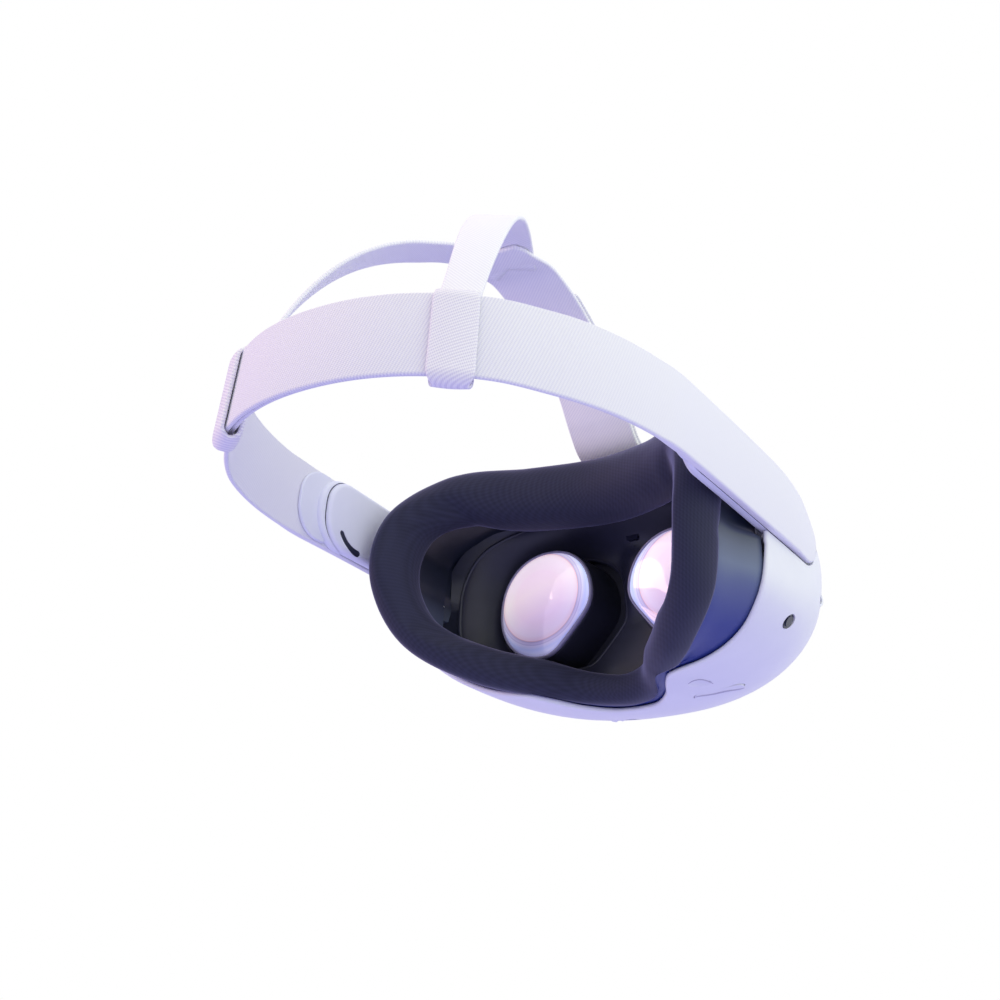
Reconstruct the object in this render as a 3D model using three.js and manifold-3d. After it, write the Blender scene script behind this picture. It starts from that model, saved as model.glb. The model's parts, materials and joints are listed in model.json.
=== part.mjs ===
// A virtual reality headset as an assembly of separate pieces, in millimetres.
// +Z is up, -Y is the front of the visor, +X is the wearer's left.
// The origin is the point midway between the wearer's pupils.

import * as THREE from "three";
import { mergeVertices } from "three/addons/utils/BufferGeometryUtils.js";
import Module from "manifold-3d";

const wasm = await Module();
wasm.setup();

// ---- Driving dimensions ----

const GAP = 0.3; // clearance between pieces that touch

// The visor: a superellipse in front view whose width and height shrink towards the front
const VISOR = {
  halfWidth: 92.1,
  top: 49.4,
  bottom: 46.1,
  front: -82.8,
  widest: -7.6, // straight from here back to the rear rim
  planPower: 2.65,
  profilePower: 3.91,
  outlinePower: 2.39,
  wall: 2.2,
};
const SPLIT_Y = -61.8; // parting line between front cover and rear housing
// Rear rim, as [distance from the middle, y], for the upper and the lower half
const RIM_TOP = [[0, -21], [30, -17], [58, -6], [76, 1.5], [86, 5], [92.1, 6.2]];
const RIM_BOTTOM = [
  [0, -40.5], [12, -38], [23, -28], [29.5, -17.4], [36.5, -9.5],
  [54, -8.6], [65, -7.1], [76, -3.3], [86, 2.7], [92.1, 6.2],
];
// Side pocket that the strap arm lies in
const POCKET = { floor: 82.9, bottom: -0.4, top: 40, front: -33.5 };

// Face cushion ring: centre line of the left half, [x, y, z], with its half thickness across and in depth
const RING = [
  [0, -9.1, 46, 14.3, 14.3],
  [31.7, 0.2, 44.2, 14, 14.3],
  [58.2, 18, 40.4, 12, 15],
  [72.5, 32.7, 25.3, 9.2, 15.5],
  [75.4, 37.2, 1.5, 8.2, 15],
  [68.9, 28, -20, 8.8, 13.5],
  [49.9, 9.1, -32.3, 8.6, 12.5],
  [28.5, -13, -36.3, 8, 11],
  [14.2, -29, -38, 7, 9],
  [0, -33, -39.2, 6.6, 8.6],
];
const CUSHION_DEPTH_SHARE = 0.62; // where the interface wall meets the roll

// Optics
const LENS = {
  x: 33.6,
  y: -13.7,
  halfWidth: 23.1,
  halfHeight: 23.6,
  power: 2.15,
  cut: 19.6,
  cutAngle: 222,
};
const BARREL = { wall: 1.4, rear: -15, front: -46 };
const PLATE = { front: -37, rear: -35, halfWidth: 74.5, up: 42, down: 38.5 };
const GUIDE = { y: -41, radius: 1.5, high: 29.4, low: -26, foot: 50 };
const PINION = { x: 22, z: -31.4, teeth: 8, module: 0.8 };
const WHEEL_RADIUS = 11.4;

// Strap centre line in plan: straight arms, then a superellipse round the back of the head
const STRAP = {
  front: -29,
  frontX: 90.2,
  sideX: 94.5,
  turnY: 77,
  rearY: 182.9,
  power: 2.1,
  z: 16.4,
  rise: 0.1184,
  sag: 10.46,
  halfFront: 13.8,
  halfRear: 17.3,
  lean: 5.48,
};
const TILT = { y: -14, z: 15 }; // axis of the strap's tilt
const SLEEVE = { from: 197.5, to: 216 };
const TOP_STRAP_HALF = 15.75;
const TOP_STRAP = [
  [-29.5, 56.6], [-20, 60.6], [-9.5, 64.6], [-1.6, 73.5], [8.1, 86.9],
  [18.5, 97], [29.7, 104.7], [40.3, 111.1], [51.6, 116.1], [60.7, 118.6], [74.4, 117.6],
];
const BRANCH = { // cubic curve of the left branch, from the seam to the sleeve
  start: [8, 75.6, 117.6],
  leave: [50.1, 145.1, 129.2],
  arrive: [51.6, 162, 25.6],
  end: [50.5, 164, 50],
  shown: [0.024, 0.77], // share of the curve between the seam and the sleeve
  halfWidth: 9.5,
};

// ---- Small helpers ----

const vec = (x, y, z) => new THREE.Vector3(x, y, z);
const lerp = (a, b, t) => a + (b - a) * t;
const clamp01 = (t) => Math.min(1, Math.max(0, t));
const smooth = (t) => clamp01(t) ** 2 * (3 - 2 * clamp01(t));
const range = (n) => Array.from({ length: n }, (_, i) => i);
const signedPower = (v, p) => Math.sign(v) * Math.abs(v) ** p;

// Smooth curve through [key, value] pairs, with the slope of the neighbours at each.
function follow(pairs, key) {
  const last = pairs.length - 1;
  const k = Math.min(Math.max(key, pairs[0][0]), pairs[last][0]);
  let i = 0;
  while (i < last - 1 && k > pairs[i + 1][0]) i++;
  const slope = (j) => {
    const a = pairs[Math.max(j - 1, 0)];
    const b = pairs[Math.min(j + 1, last)];
    return (b[1] - a[1]) / (b[0] - a[0]);
  };
  const h = pairs[i + 1][0] - pairs[i][0];
  const t = (k - pairs[i][0]) / h;
  const t2 = t * t;
  const t3 = t2 * t;
  return (
    (2 * t3 - 3 * t2 + 1) * pairs[i][1] +
    (t3 - 2 * t2 + t) * h * slope(i) +
    (3 * t2 - 2 * t3) * pairs[i + 1][1] +
    (t3 - t2) * h * slope(i + 1)
  );
}

function signedVolume(points, faces) {
  let sum = 0;
  for (const [a, b, c] of faces) sum += points[a].dot(points[b].clone().cross(points[c]));
  return sum;
}

// A closed surface through rows of equally many points. Rows close on themselves; the first and last
// row are joined to each other (ring) or each closed by a fan.
function skin(rows, ring = false) {
  const n = rows[0].length;
  const points = rows.flat();
  const faces = [];
  const rowPairs = ring ? rows.length : rows.length - 1;
  for (let i = 0; i < rowPairs; i++) {
    const next = (i + 1) % rows.length;
    for (let j = 0; j < n; j++) {
      const a = i * n + j;
      const b = i * n + ((j + 1) % n);
      const c = next * n + j;
      const d = next * n + ((j + 1) % n);
      faces.push([a, b, d], [a, d, c]);
    }
  }
  if (!ring) {
    for (const [row, flip] of [[0, true], [rows.length - 1, false]]) {
      const middle = rows[row].reduce((s, p) => s.add(p), vec(0, 0, 0)).divideScalar(n);
      points.push(middle);
      for (let j = 0; j < n; j++) {
        const face = [points.length - 1, row * n + j, row * n + ((j + 1) % n)];
        faces.push(flip ? face.reverse() : face);
      }
    }
  }
  if (signedVolume(points, faces) < 0) faces.forEach((f) => f.reverse());
  const geometry = new THREE.BufferGeometry();
  geometry.setAttribute(
    "position",
    new THREE.Float32BufferAttribute(points.flatMap((p) => [p.x, p.y, p.z]), 3),
  );
  geometry.setIndex(faces.flat());
  return geometry;
}

function toSolid(geometry) {
  const bare = new THREE.BufferGeometry();
  const flat = geometry.index ? geometry.toNonIndexed() : geometry;
  bare.setAttribute("position", flat.getAttribute("position"));
  const merged = mergeVertices(bare, 1e-4);
  return new wasm.Manifold(
    new wasm.Mesh({
      numProp: 3,
      vertProperties: new Float32Array(merged.attributes.position.array),
      triVerts: new Uint32Array(merged.index.array),
    }),
  );
}

function toGeometry(solid) {
  const made = solid.getMesh();
  const geometry = new THREE.BufferGeometry();
  geometry.setAttribute("position", new THREE.BufferAttribute(new Float32Array(made.vertProperties), 3));
  geometry.setIndex(new THREE.BufferAttribute(new Uint32Array(made.triVerts), 1));
  return geometry;
}

const cut = (geometry, ...tools) =>
  toGeometry(tools.reduce((s, tool) => s.subtract(toSolid(tool)), toSolid(geometry)));
const join = (...geometries) => toGeometry(geometries.map(toSolid).reduce((a, b) => a.add(b)));
const common = (a, b) => toGeometry(toSolid(a).intersect(toSolid(b)));

const box = (low, high) =>
  new THREE.BoxGeometry(high[0] - low[0], high[1] - low[1], high[2] - low[2]).translate(
    (low[0] + high[0]) / 2,
    (low[1] + high[1]) / 2,
    (low[2] + high[2]) / 2,
  );

// A cylinder from one point to another.
function rod(from, to, radius, sides = 20, radiusEnd = radius) {
  const a = vec(...from);
  const b = vec(...to);
  const along = b.clone().sub(a);
  const turn = new THREE.Quaternion().setFromUnitVectors(vec(0, 1, 0), along.clone().normalize());
  return new THREE.CylinderGeometry(radiusEnd, radius, along.length(), sides)
    .applyQuaternion(turn)
    .translate(...a.add(b).multiplyScalar(0.5).toArray());
}

// A plate with the outline [x, z] points, holes as point lists, between two y values.
function plateY(outline, y0, y1, holes = []) {
  const shape = new THREE.Shape(outline.map(([x, z]) => new THREE.Vector2(x, z)));
  holes.forEach((h) => shape.holes.push(new THREE.Path(h.map(([x, z]) => new THREE.Vector2(x, z)))));
  return new THREE.ExtrudeGeometry(shape, { depth: y1 - y0, bevelEnabled: false })
    .rotateX(Math.PI / 2)
    .translate(0, y1, 0);
}

const ellipse = (cx, cz, rx, rz, n = 24) =>
  range(n).map((i) => [
    cx + rx * Math.cos((i * 2 * Math.PI) / n),
    cz + rz * Math.sin((i * 2 * Math.PI) / n),
  ]);

// A rounded rectangle centred on (cx, cz).
function roundedRect(cx, cz, width, height, radius, n = 4) {
  const corners = [[1, 1, 0], [-1, 1, 90], [-1, -1, 180], [1, -1, 270]];
  return corners.flatMap(([sx, sz, start]) =>
    range(n + 1).map((i) => {
      const angle = THREE.MathUtils.degToRad(start + (90 * i) / n);
      return [
        cx + sx * (width / 2 - radius) + radius * Math.cos(angle),
        cz + sz * (height / 2 - radius) + radius * Math.sin(angle),
      ];
    }),
  );
}

const mirrored = (geometry) => {
  const copy = geometry.index ? geometry.toNonIndexed() : geometry.clone();
  const p = copy.getAttribute("position").array;
  for (let i = 0; i < p.length; i += 9) {
    for (const j of [0, 3, 6]) p[i + j] *= -1;
    for (const k of [0, 1, 2]) [p[i + 3 + k], p[i + 6 + k]] = [p[i + 6 + k], p[i + 3 + k]];
  }
  const bare = new THREE.BufferGeometry();
  bare.setAttribute("position", new THREE.BufferAttribute(p, 3));
  return bare;
};

// ---- The visor's surface ----

// Half width and half heights of the visor's section at y, on the surface inset by the given amount.
function visorSection(y, inset = 0) {
  const reach = VISOR.widest - (VISOR.front + inset);
  const depth = clamp01((VISOR.widest - y) / reach);
  const plan = (1 - depth ** VISOR.planPower) ** (1 / VISOR.planPower);
  const profile = (1 - depth ** VISOR.profilePower) ** (1 / VISOR.profilePower);
  return {
    across: (VISOR.halfWidth - inset) * plan,
    up: (VISOR.top - inset) * profile,
    down: (VISOR.bottom - inset) * profile,
  };
}

function visorPoint(angle, y, inset = 0) {
  const { across, up, down } = visorSection(y, inset);
  const c = Math.cos(angle);
  const s = Math.sin(angle);
  return vec(
    across * signedPower(c, 2 / VISOR.outlinePower),
    y,
    (s > 0 ? up : down) * signedPower(s, 2 / VISOR.outlinePower),
  );
}

const visorRing = (yAt, inset, n) =>
  range(n).map((j) => {
    const angle = (2 * Math.PI * j) / n;
    return visorPoint(angle, typeof yAt === "function" ? yAt(angle) : yAt, inset);
  });

// y of the rear rim at an angle round the visor.
function rimY(angle) {
  const p = visorPoint(angle, VISOR.widest);
  return follow(p.z > 0 ? RIM_TOP : RIM_BOTTOM, Math.abs(p.x));
}

const FRONT_STATIONS = [0.6, 0.7, 0.79, 0.87, 0.93, 0.975];
const stationY = (t, inset) =>
  VISOR.widest - (VISOR.widest - VISOR.front - inset) * Math.sin((t * Math.PI) / 2);

// The visor's front part as a solid cap, from the parting line forward, inset all round.
function frontCap(inset, backY, n = 32) {
  const rows = FRONT_STATIONS.map((t) => stationY(t, inset)).filter((y) => y < backY - 0.5);
  return skin([backY, ...rows].map((y) => visorRing(y, inset, n)));
}

function frontCover() {
  const outer = frontCap(0, SPLIT_Y - GAP);
  const inner = frontCap(VISOR.wall, SPLIT_Y + 1, 28);
  const cameras = [1, -1].map((side) => windowPrism(side, 0));
  return cut(outer, inner, ...cameras, rod([0, -90, -31], [0, -60, -31], 1.5, 12));
}

// Prism through the front cover for one camera window, shrunk by the given amount.
function windowPrism(side, shrink) {
  const outline = roundedRect(side * 30, 15, 18 - 2 * shrink, 24 - 2 * shrink, 8 - shrink, 3);
  return plateY(outline, -92, -60);
}

// Dark glass in the front cover, flush with its surface.
function cameraWindow(side) {
  const layer = cut(frontCap(0.15, -70), frontCap(1.9, -60));
  return common(layer, windowPrism(side, GAP));
}

// The rear housing as a solid, between the parting line and the rim, inset all round.
function rearBody(inset, frontYValue, behind, n, steps) {
  const shares = range(steps + 1).map((i) => (i / steps) ** 1.5);
  return skin(
    shares.map((share) =>
      visorRing((angle) => lerp(frontYValue, rimY(angle) + behind, share), inset, n),
    ),
  );
}

function pocketSolid(side, grow) {
  const x0 = side * (POCKET.floor - grow);
  const x1 = side * 110;
  return box(
    [Math.min(x0, x1), POCKET.front - grow, POCKET.bottom - grow],
    [Math.max(x0, x1), 30, POCKET.top],
  );
}

function rearHousing() {
  const cavity = toSolid(rearBody(VISOR.wall, SPLIT_Y - 2, 4, 36, 3))
    .subtract(toSolid(pocketSolid(1, VISOR.wall)))
    .subtract(toSolid(pocketSolid(-1, VISOR.wall)));
  let body = toSolid(rearBody(0, SPLIT_Y, 0, 52, 4)).subtract(cavity);
  const openings = [
    pocketSolid(1, 0),
    pocketSolid(-1, 0),
    ...[1, -1].map((side) => rod([side * 72, TILT.y, TILT.z], [side * 90, TILT.y, TILT.z], 4.6, 14)),
    ...[1, -1].map((side) => sideCameraRod(side, 3.7, 6, 14)),
    usbPrism(0.3),
    rod([-70, JACK.y, JACK.z], [-100, JACK.y, JACK.z], 3.2, 14),
    buttonPrism(0.35, -4, 8),
    rockerPrism(0.45, -8, 6),
    box([PINION.x - 10.4, -60.2, -50], [PINION.x + 10.4, -54.8, -36]),
    box([-13, -53, 44], [13, -45.5, 52]),
    ...ANCHOR_HOLES,
  ];
  for (const tool of openings) body = body.subtract(toSolid(tool));
  return toGeometry(body);
}

// ---- Side cameras, ports and buttons ----

const SIDE_CAMERA = { at: [83.7, -24, -23.1], out: [0.86, -0.12, -0.49] };
function sideCameraRod(side, radius, outward, inward) {
  const [x, y, z] = SIDE_CAMERA.at;
  const [dx, dy, dz] = SIDE_CAMERA.out;
  const end = (d) => [side * (x + dx * d), y + dy * d, z + dz * d];
  return rod(end(-inward), end(outward), radius, 14);
}
const sideCamera = (side) => join(sideCameraRod(side, 3.3, -0.4, 5), sideCameraRod(side, 2.4, 0.1, 3));

const USB = { y: -40, z: -8, face: 85.3 };
const usbPrism = (grow) =>
  plateY(roundedRect(0, 0, 12.4 + 2 * grow, 5.4 + 2 * grow, 2.6 + grow, 3), -96, -72)
    .rotateZ(Math.PI / 2)
    .translate(0, USB.y, USB.z);

// Receptacle with a flat bezel, an oval mouth and a contact tongue.
function usbPort() {
  const { y, z, face } = USB;
  const body = common(usbPrism(0), box([face - 9, y - 10, z - 5], [face, y + 10, z + 5]));
  const mouth = plateY(roundedRect(0, 0, 9, 3.2, 1.6, 3), -96, -face + 7)
    .rotateZ(Math.PI / 2)
    .translate(0, y, z);
  const tongue = box([face - 7.5, y - 3, z - 0.35], [face - 1.2, y + 3, z + 0.35]);
  return join(cut(body, mouth), tongue);
}

const JACK = { y: -48, z: -6 };
const audioJack = () =>
  cut(
    rod([-72, JACK.y, JACK.z], [-84.2, JACK.y, JACK.z], 2.9, 14),
    rod([-73, JACK.y, JACK.z], [-90, JACK.y, JACK.z], 1.8, 12),
  );

// The power button moves along the visor's surface normal on the left side.
const BUTTON = { at: [83.2, -51.5, 8], out: [0.93, -0.3676, 0] };
function buttonPrism(grow, from, to) {
  const outline = roundedRect(0, 0, 11 + 2 * grow, 4.6 + 2 * grow, 2.2 + grow, 3);
  const turn = Math.atan2(BUTTON.out[1], BUTTON.out[0]);
  return plateY(outline, -to, -from)
    .rotateZ(Math.PI / 2 + turn)
    .translate(...BUTTON.at);
}
const powerButton = () => buttonPrism(0, -3.2, 0.9);

// The volume rocker lies in the underside on the right and rocks about an axis square to its length.
const ROCKER = { at: [-40.4, -41.5, -41.8], length: 22, width: 6.4, heading: 14, lean: 11 };
function rockerPlaced(geometry) {
  return geometry
    .rotateZ(THREE.MathUtils.degToRad(ROCKER.heading))
    .rotateY(THREE.MathUtils.degToRad(ROCKER.lean))
    .translate(...ROCKER.at);
}
// A pill prism along the rocker's own down axis, between two depths below its reference point.
function rockerPrism(grow, from, to) {
  const width = ROCKER.width + 2 * grow;
  const outline = roundedRect(0, 0, ROCKER.length + 2 * grow, width, width / 2 - 0.01, 4);
  return rockerPlaced(plateY(outline, -to, -from).rotateX(Math.PI / 2));
}
function volumeRocker() {
  return rockerPrism(0, -2.4, 0.8);
}

// ---- Interface frame and cushion ----

// Centre line, across half thickness and depth half thickness of the cushion ring at share 0..1 of a turn.
function ringCurve() {
  const left = RING.map(([x, y, z]) => vec(x, y, z));
  const right = RING.slice(1, -1).reverse().map(([x, y, z]) => vec(-x, y, z));
  return new THREE.CatmullRomCurve3([...left, ...right], true, "centripetal");
}

function ringSizes(share) {
  const count = RING.length * 2 - 2;
  const at = (((share * count) % count) + count) % count;
  const i = Math.floor(at);
  const entry = (k) => {
    const m = k % count;
    return RING[m < RING.length ? m : count - m];
  };
  const t = smooth(at - i);
  return [lerp(entry(i)[3], entry(i + 1)[3], t), lerp(entry(i)[4], entry(i + 1)[4], t)];
}

const curve = ringCurve();
function ringFrame(share) {
  const p = curve.getPoint(share);
  const t = curve.getTangent(share);
  const outward = vec(-t.z, 0, t.x).normalize();
  if (outward.x * p.x + outward.z * p.z < 0) outward.negate();
  const [across, depth] = ringSizes(share);
  return { p, outward, across, depth };
}

const RING_STEPS = 52;
const CUSHION_SIDES = 10;

// The angle round the visor, as visorPoint takes it, that faces a point of the ring.
function angleFacing(p) {
  const tall = p.z > 0 ? VISOR.top : VISOR.bottom;
  const polar = Math.atan2(p.z / tall, p.x / VISOR.halfWidth);
  const n = VISOR.outlinePower / 2;
  return Math.atan2(signedPower(Math.sin(polar), n), signedPower(Math.cos(polar), n));
}

// y of the cushion's flat front, which stays behind the visor's rim.
function cushionFrontY({ p, depth }) {
  return Math.max(p.y - depth * CUSHION_DEPTH_SHARE, rimY(angleFacing(p)) + 3.4);
}

// Soft roll; its front is cut flat where it sits on the interface frame's flange.
function faceCushion() {
  const rows = range(RING_STEPS).map((i) => {
    const frame = ringFrame(i / RING_STEPS);
    const front = cushionFrontY(frame);
    return range(CUSHION_SIDES).map((k) => {
      const angle = (2 * Math.PI * (k + 0.5)) / CUSHION_SIDES;
      const point = frame.p
        .clone()
        .addScaledVector(frame.outward, Math.cos(angle) * frame.across)
        .add(vec(0, Math.sin(angle) * frame.depth, 0));
      point.y = Math.max(point.y, front);
      return point;
    });
  });
  return skin(rows, true);
}

const WALL_INSET = VISOR.wall + 1;
const WALL_THICKNESS = 2.4;
const WALL_LIMIT = POCKET.floor - VISOR.wall - 0.7; // half width beside the strap pockets

// Three stations of the interface wall at share 0..1 round the ring: inside the visor, at its rim, and
// at the cushion.
function wallStations(share) {
  const frame = ringFrame(share);
  const angle = angleFacing(frame.p);
  const rim = rimY(angle);
  const reach = frame.p.z < 0 ? lerp(7.5, 11, smooth(Math.abs(frame.p.x) / 40)) : 11;
  const [inside, atRim] = [rim - reach, rim + 0.9].map((y) => {
    const point = visorPoint(angle, y, WALL_INSET);
    const limit = lerp(VISOR.halfWidth, WALL_LIMIT, smooth((point.z + 9) / 5.5));
    point.x = Math.sign(point.x) * Math.min(Math.abs(point.x), limit);
    return point;
  });
  const rear = frame.p.clone().addScaledVector(frame.outward, frame.across * 0.78);
  rear.y = cushionFrontY(frame) - 0.5;
  const crowded = 1 - smooth((rear.y - rim - 1.5) / 6);
  const narrow = Math.min(1, Math.hypot(atRim.x, atRim.z) / Math.hypot(rear.x, rear.z));
  const shrink = lerp(1, narrow, crowded);
  rear.x *= shrink;
  rear.z *= shrink;
  return { inside, atRim, rear, outward: frame.outward };
}

function inward(point, amount) {
  const push = vec(point.x, 0, point.z).normalize();
  return point.clone().addScaledVector(push, -amount);
}

// Wall ring with a flange at its rear that the cushion sits on.
function interfaceFrame() {
  const all = range(RING_STEPS).map((i) => wallStations(i / RING_STEPS));
  const lip = all.map(({ rear, outward }) => rear.clone().addScaledVector(outward, -6));
  const rows = [
    all.map(({ inside }) => inside),
    all.map(({ atRim }) => atRim),
    all.map(({ rear }) => rear),
    lip,
    lip.map((p) => p.clone().add(vec(0, -1.8, 0))),
    all.map(({ atRim }) => inward(atRim, WALL_THICKNESS)),
    all.map(({ inside }) => inward(inside, WALL_THICKNESS)),
  ];
  const tools = [1, -1].map((side) => depthButtonPrism(side, 0.35, -6, 6));
  return cut(skin(rows, true), ...tools);
}

const DEPTH_BUTTON = { x: 82.4, y: -0.5, z: -17.8 };
function depthButtonPrism(side, grow, from, to) {
  const outline = roundedRect(0, 0, 12 + 2 * grow, 4.8 + 2 * grow, 2.2 + grow, 3);
  return plateY(outline, -to, -from)
    .rotateZ(side > 0 ? Math.PI / 2 : -Math.PI / 2)
    .translate(side * DEPTH_BUTTON.x, DEPTH_BUTTON.y, DEPTH_BUTTON.z);
}
const depthButton = (side) => depthButtonPrism(side, 0, -3.4, -0.2);

// ---- Optics ----

// Lens outline for the wearer's left eye: a superellipse with its lower nose corner cut off.
function lensOutline(grow, n = 24) {
  return range(n).map((i) => {
    const angle = (2 * Math.PI * i) / n;
    const c = Math.cos(angle);
    const s = Math.sin(angle);
    const p = LENS.power;
    const round =
      ((Math.abs(c) / (LENS.halfWidth + grow)) ** p + (Math.abs(s) / (LENS.halfHeight + grow)) ** p) **
      (-1 / p);
    const facing = Math.cos(angle - THREE.MathUtils.degToRad(LENS.cutAngle));
    const flat = facing > 0.05 ? (LENS.cut + grow) / facing : 1e6;
    const r = (round ** -14 + flat ** -14) ** (-1 / 14);
    return [r * c, r * s];
  });
}
const lensRing = (grow, y, scale = 1) =>
  lensOutline(grow).map(([x, z]) => vec(LENS.x + x * scale, y, z * scale));

function lensBarrel() {
  const { wall, rear, front } = BARREL;
  const tube = skin(
    [
      lensRing(wall, front),
      lensRing(wall, rear - 3),
      lensRing(wall, rear + 0.3),
      lensRing(0.3, rear + 0.3),
      lensRing(0.3, rear - 5.2),
      lensRing(-1.2, rear - 5.6),
      lensRing(-1.2, front),
    ],
    true,
  );
  const { y, high, low, foot } = GUIDE;
  const lugs = join(
    box([LENS.x - 6, y - 2.5, 22], [LENS.x + 6, y + 2.5, high + 3.1]),
    box([foot - 4, y - 2.5, low - 2.6], [foot + 4, y + 2.5, -16]),
  );
  const bores = [high, low].map((z) => rod([-80, y, z], [80, y, z], GUIDE.radius + 0.25, 12));
  const inside = skin([lensRing(-0.6, front), lensRing(-0.6, rear)]);
  return join(tube, cut(lugs, ...bores, inside));
}

// Rear lens element: crowned towards the eye.
function lens() {
  const y = LENS.y;
  return skin([
    lensRing(0, y + 0.9, 0.5),
    lensRing(0, y, 0.85),
    lensRing(0, y - 1.2),
    lensRing(0, y - 5.4),
  ]);
}

const display = () =>
  plateY(roundedRect(LENS.x, 0, 41, 44, 6), BARREL.front - 3.2, BARREL.front - GAP);

const guideRodUpper = () =>
  rod([-58, GUIDE.y, GUIDE.high], [58, GUIDE.y, GUIDE.high], GUIDE.radius, 12);
const guideRodLower = (side) =>
  rod([side * 43, GUIDE.y, GUIDE.low], [side * 60.2, GUIDE.y, GUIDE.low], GUIDE.radius, 12);

// Rack tooth outline along x: pitch points every module * pi, with the teeth pointing to sign.
function rackTeeth(from, to, pitchZ, backZ, sign, phase) {
  const pitch = Math.PI * PINION.module;
  const tip = 0.72 * PINION.module;
  const root = 0.95 * PINION.module;
  const points = [[from, backZ], [to, backZ]];
  const first = Math.ceil((from + 1 - PINION.x) / pitch - phase);
  const last = Math.floor((to - 1 - PINION.x) / pitch - phase);
  points.push([to, pitchZ - sign * root]);
  for (let k = last; k >= first; k--) {
    const x = PINION.x + (k + phase) * pitch;
    points.push([x + 0.78, pitchZ - sign * root], [x + 0.3, pitchZ + sign * tip]);
    points.push([x - 0.3, pitchZ + sign * tip], [x - 0.78, pitchZ - sign * root]);
  }
  points.push([from, pitchZ - sign * root]);
  return points;
}

const PITCH_RADIUS = (PINION.teeth * PINION.module) / 2;
const RACK_Y = [-54.4, -51.6];

// Upper rack, carried by the left lens; lower rack, carried by the right lens.
function ipdRack(side) {
  const sign = side > 0 ? -1 : 1;
  const pitchZ = PINION.z - sign * PITCH_RADIUS;
  const backZ = pitchZ - sign * 3;
  const span = side > 0 ? [8, 38] : [-36, 36];
  const bar = plateY(rackTeeth(...span, pitchZ, backZ, sign, 0), RACK_Y[0], RACK_Y[1]);
  const tab =
    side > 0
      ? box([29.5, RACK_Y[0], -28], [35.5, -44.2, -25.3])
      : join(
          box([-35.5, RACK_Y[0], -37.4], [-29.5, RACK_Y[1], -25.3]),
          box([-35.5, RACK_Y[1] - 2, -28], [-29.5, -44.2, -25.3]),
        );
  return join(bar, tab);
}

// Thumb wheel with its shaft and pinion; a tooth of the pinion faces midway between rack teeth.
function ipdWheel() {
  const { x, z, teeth, module: size } = PINION;
  const outline = (rootR, tipR, count, turn, halfRoot, halfTip) =>
    range(count).flatMap((i) =>
      [[-halfRoot, rootR], [-halfTip, tipR], [halfTip, tipR], [halfRoot, rootR]].map(([d, r]) => {
        const angle = ((i + turn) * 2 * Math.PI) / count + d;
        return [x + r * Math.cos(angle), z + r * Math.sin(angle)];
      }),
    );
  const pinion = plateY(
    outline(PITCH_RADIUS - size * 0.95, PITCH_RADIUS + size * 0.72, teeth, 0.5, 0.26, 0.09).reverse(),
    -55.2,
    -50.8,
  );
  const toothed = outline(WHEEL_RADIUS - 0.6, WHEEL_RADIUS, 14, 0, 0.15, 0.09).reverse();
  const wheel = plateY(toothed, -59.4, -55.6);
  return join(pinion, wheel, rod([x, -60.3, z], [x, -50, z], 1.4, 8));
}

// Dark plate round the lenses, with room for their sideways travel, a notch for the nose and holders
// for the guide rods.
function eyePlate() {
  const n = 36;
  const outline = range(n).map((i) => {
    const angle = (2 * Math.PI * i) / n;
    const c = signedPower(Math.cos(angle), 0.8);
    const s = signedPower(Math.sin(angle), 0.8);
    return [PLATE.halfWidth * c, (s > 0 ? PLATE.up : PLATE.down) * s];
  });
  const holes = [1, -1].map((side) =>
    lensOutline(BARREL.wall + 1.2).map(([x, z]) => [side * (LENS.x + x + (x > 0 ? 2 : -4.5)), z]),
  );
  const plate = plateY(outline, PLATE.front, PLATE.rear, holes);
  const lipY = (x) => lerp(-22, -9, smooth((Math.abs(x) - 34) / 40));
  const ringAt = (scale, yAt) => outline.map(([x, z]) => vec(x * scale, yAt(x), z * scale));
  const atFront = () => PLATE.front;
  const lip = skin(
    [ringAt(1, atFront), ringAt(1.01, lipY), ringAt(0.985, lipY), ringAt(0.97, atFront)],
    true,
  );
  const holders = [1, -1].flatMap((side) => [
    rodHolder(side * 55.4, GUIDE.high),
    rodHolder(side * 58.6, GUIDE.low),
  ]);
  const notch = [[-24, -60], [24, -60], [22, -27], [8, -12], [0, -9], [-8, -12], [-22, -27]];
  return cut(
    join(plate, lip, ...holders),
    plateY(notch, PLATE.front - 5, 0),
    box([-4, PLATE.front - 5, 28.5], [4, -10, 34.7]),
  );
}
function rodHolder(x, z) {
  const half = 1.8;
  const block = box([x - half, GUIDE.y - 2.6, z - 2.6], [x + half, PLATE.front + 1, z + 2.6]);
  return cut(block, rod([x - 5, GUIDE.y, z], [x + 5, GUIDE.y, z], GUIDE.radius + GAP, 12));
}
const proximitySensor = () =>
  box([-3.6, PLATE.front - 0.4, 28.9], [3.6, PLATE.rear + 1, 34.3]);

// ---- Inside the visor ----

function midFrame() {
  const y = [-61.4, -60.6];
  const { across, up, down } = visorSection(-60, VISOR.wall + 1.8);
  const n = 32;
  const outline = range(n).map((i) => {
    const angle = (2 * Math.PI * i) / n;
    const c = signedPower(Math.cos(angle), 2 / VISOR.outlinePower);
    const s = signedPower(Math.sin(angle), 2 / VISOR.outlinePower);
    return [across * c, (s > 0 ? up : down) * s];
  });
  const holes = [ellipse(0, 14, 15, 15, 20), ellipse(PINION.x, PINION.z, 1.7, 1.7, 8)];
  SCREWS.forEach(([x, z]) => holes.push(ellipse(x, z, 1.5, 1.5, 8)));
  return plateY(outline, y[0], y[1], holes);
}

const SCREWS = [[60, 18], [-60, 18], [60, -16], [-60, -16]];
const frameScrew = ([x, z]) =>
  join(rod([x, -62.9, z], [x, -61.7, z], 2.4, 12), rod([x, -62.4, z], [x, -55, z], 1.2, 8));

const mainboard = () =>
  plateY(roundedRect(0, 0, 104, 46, 9, 3), -66.4, -65.2);

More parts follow.
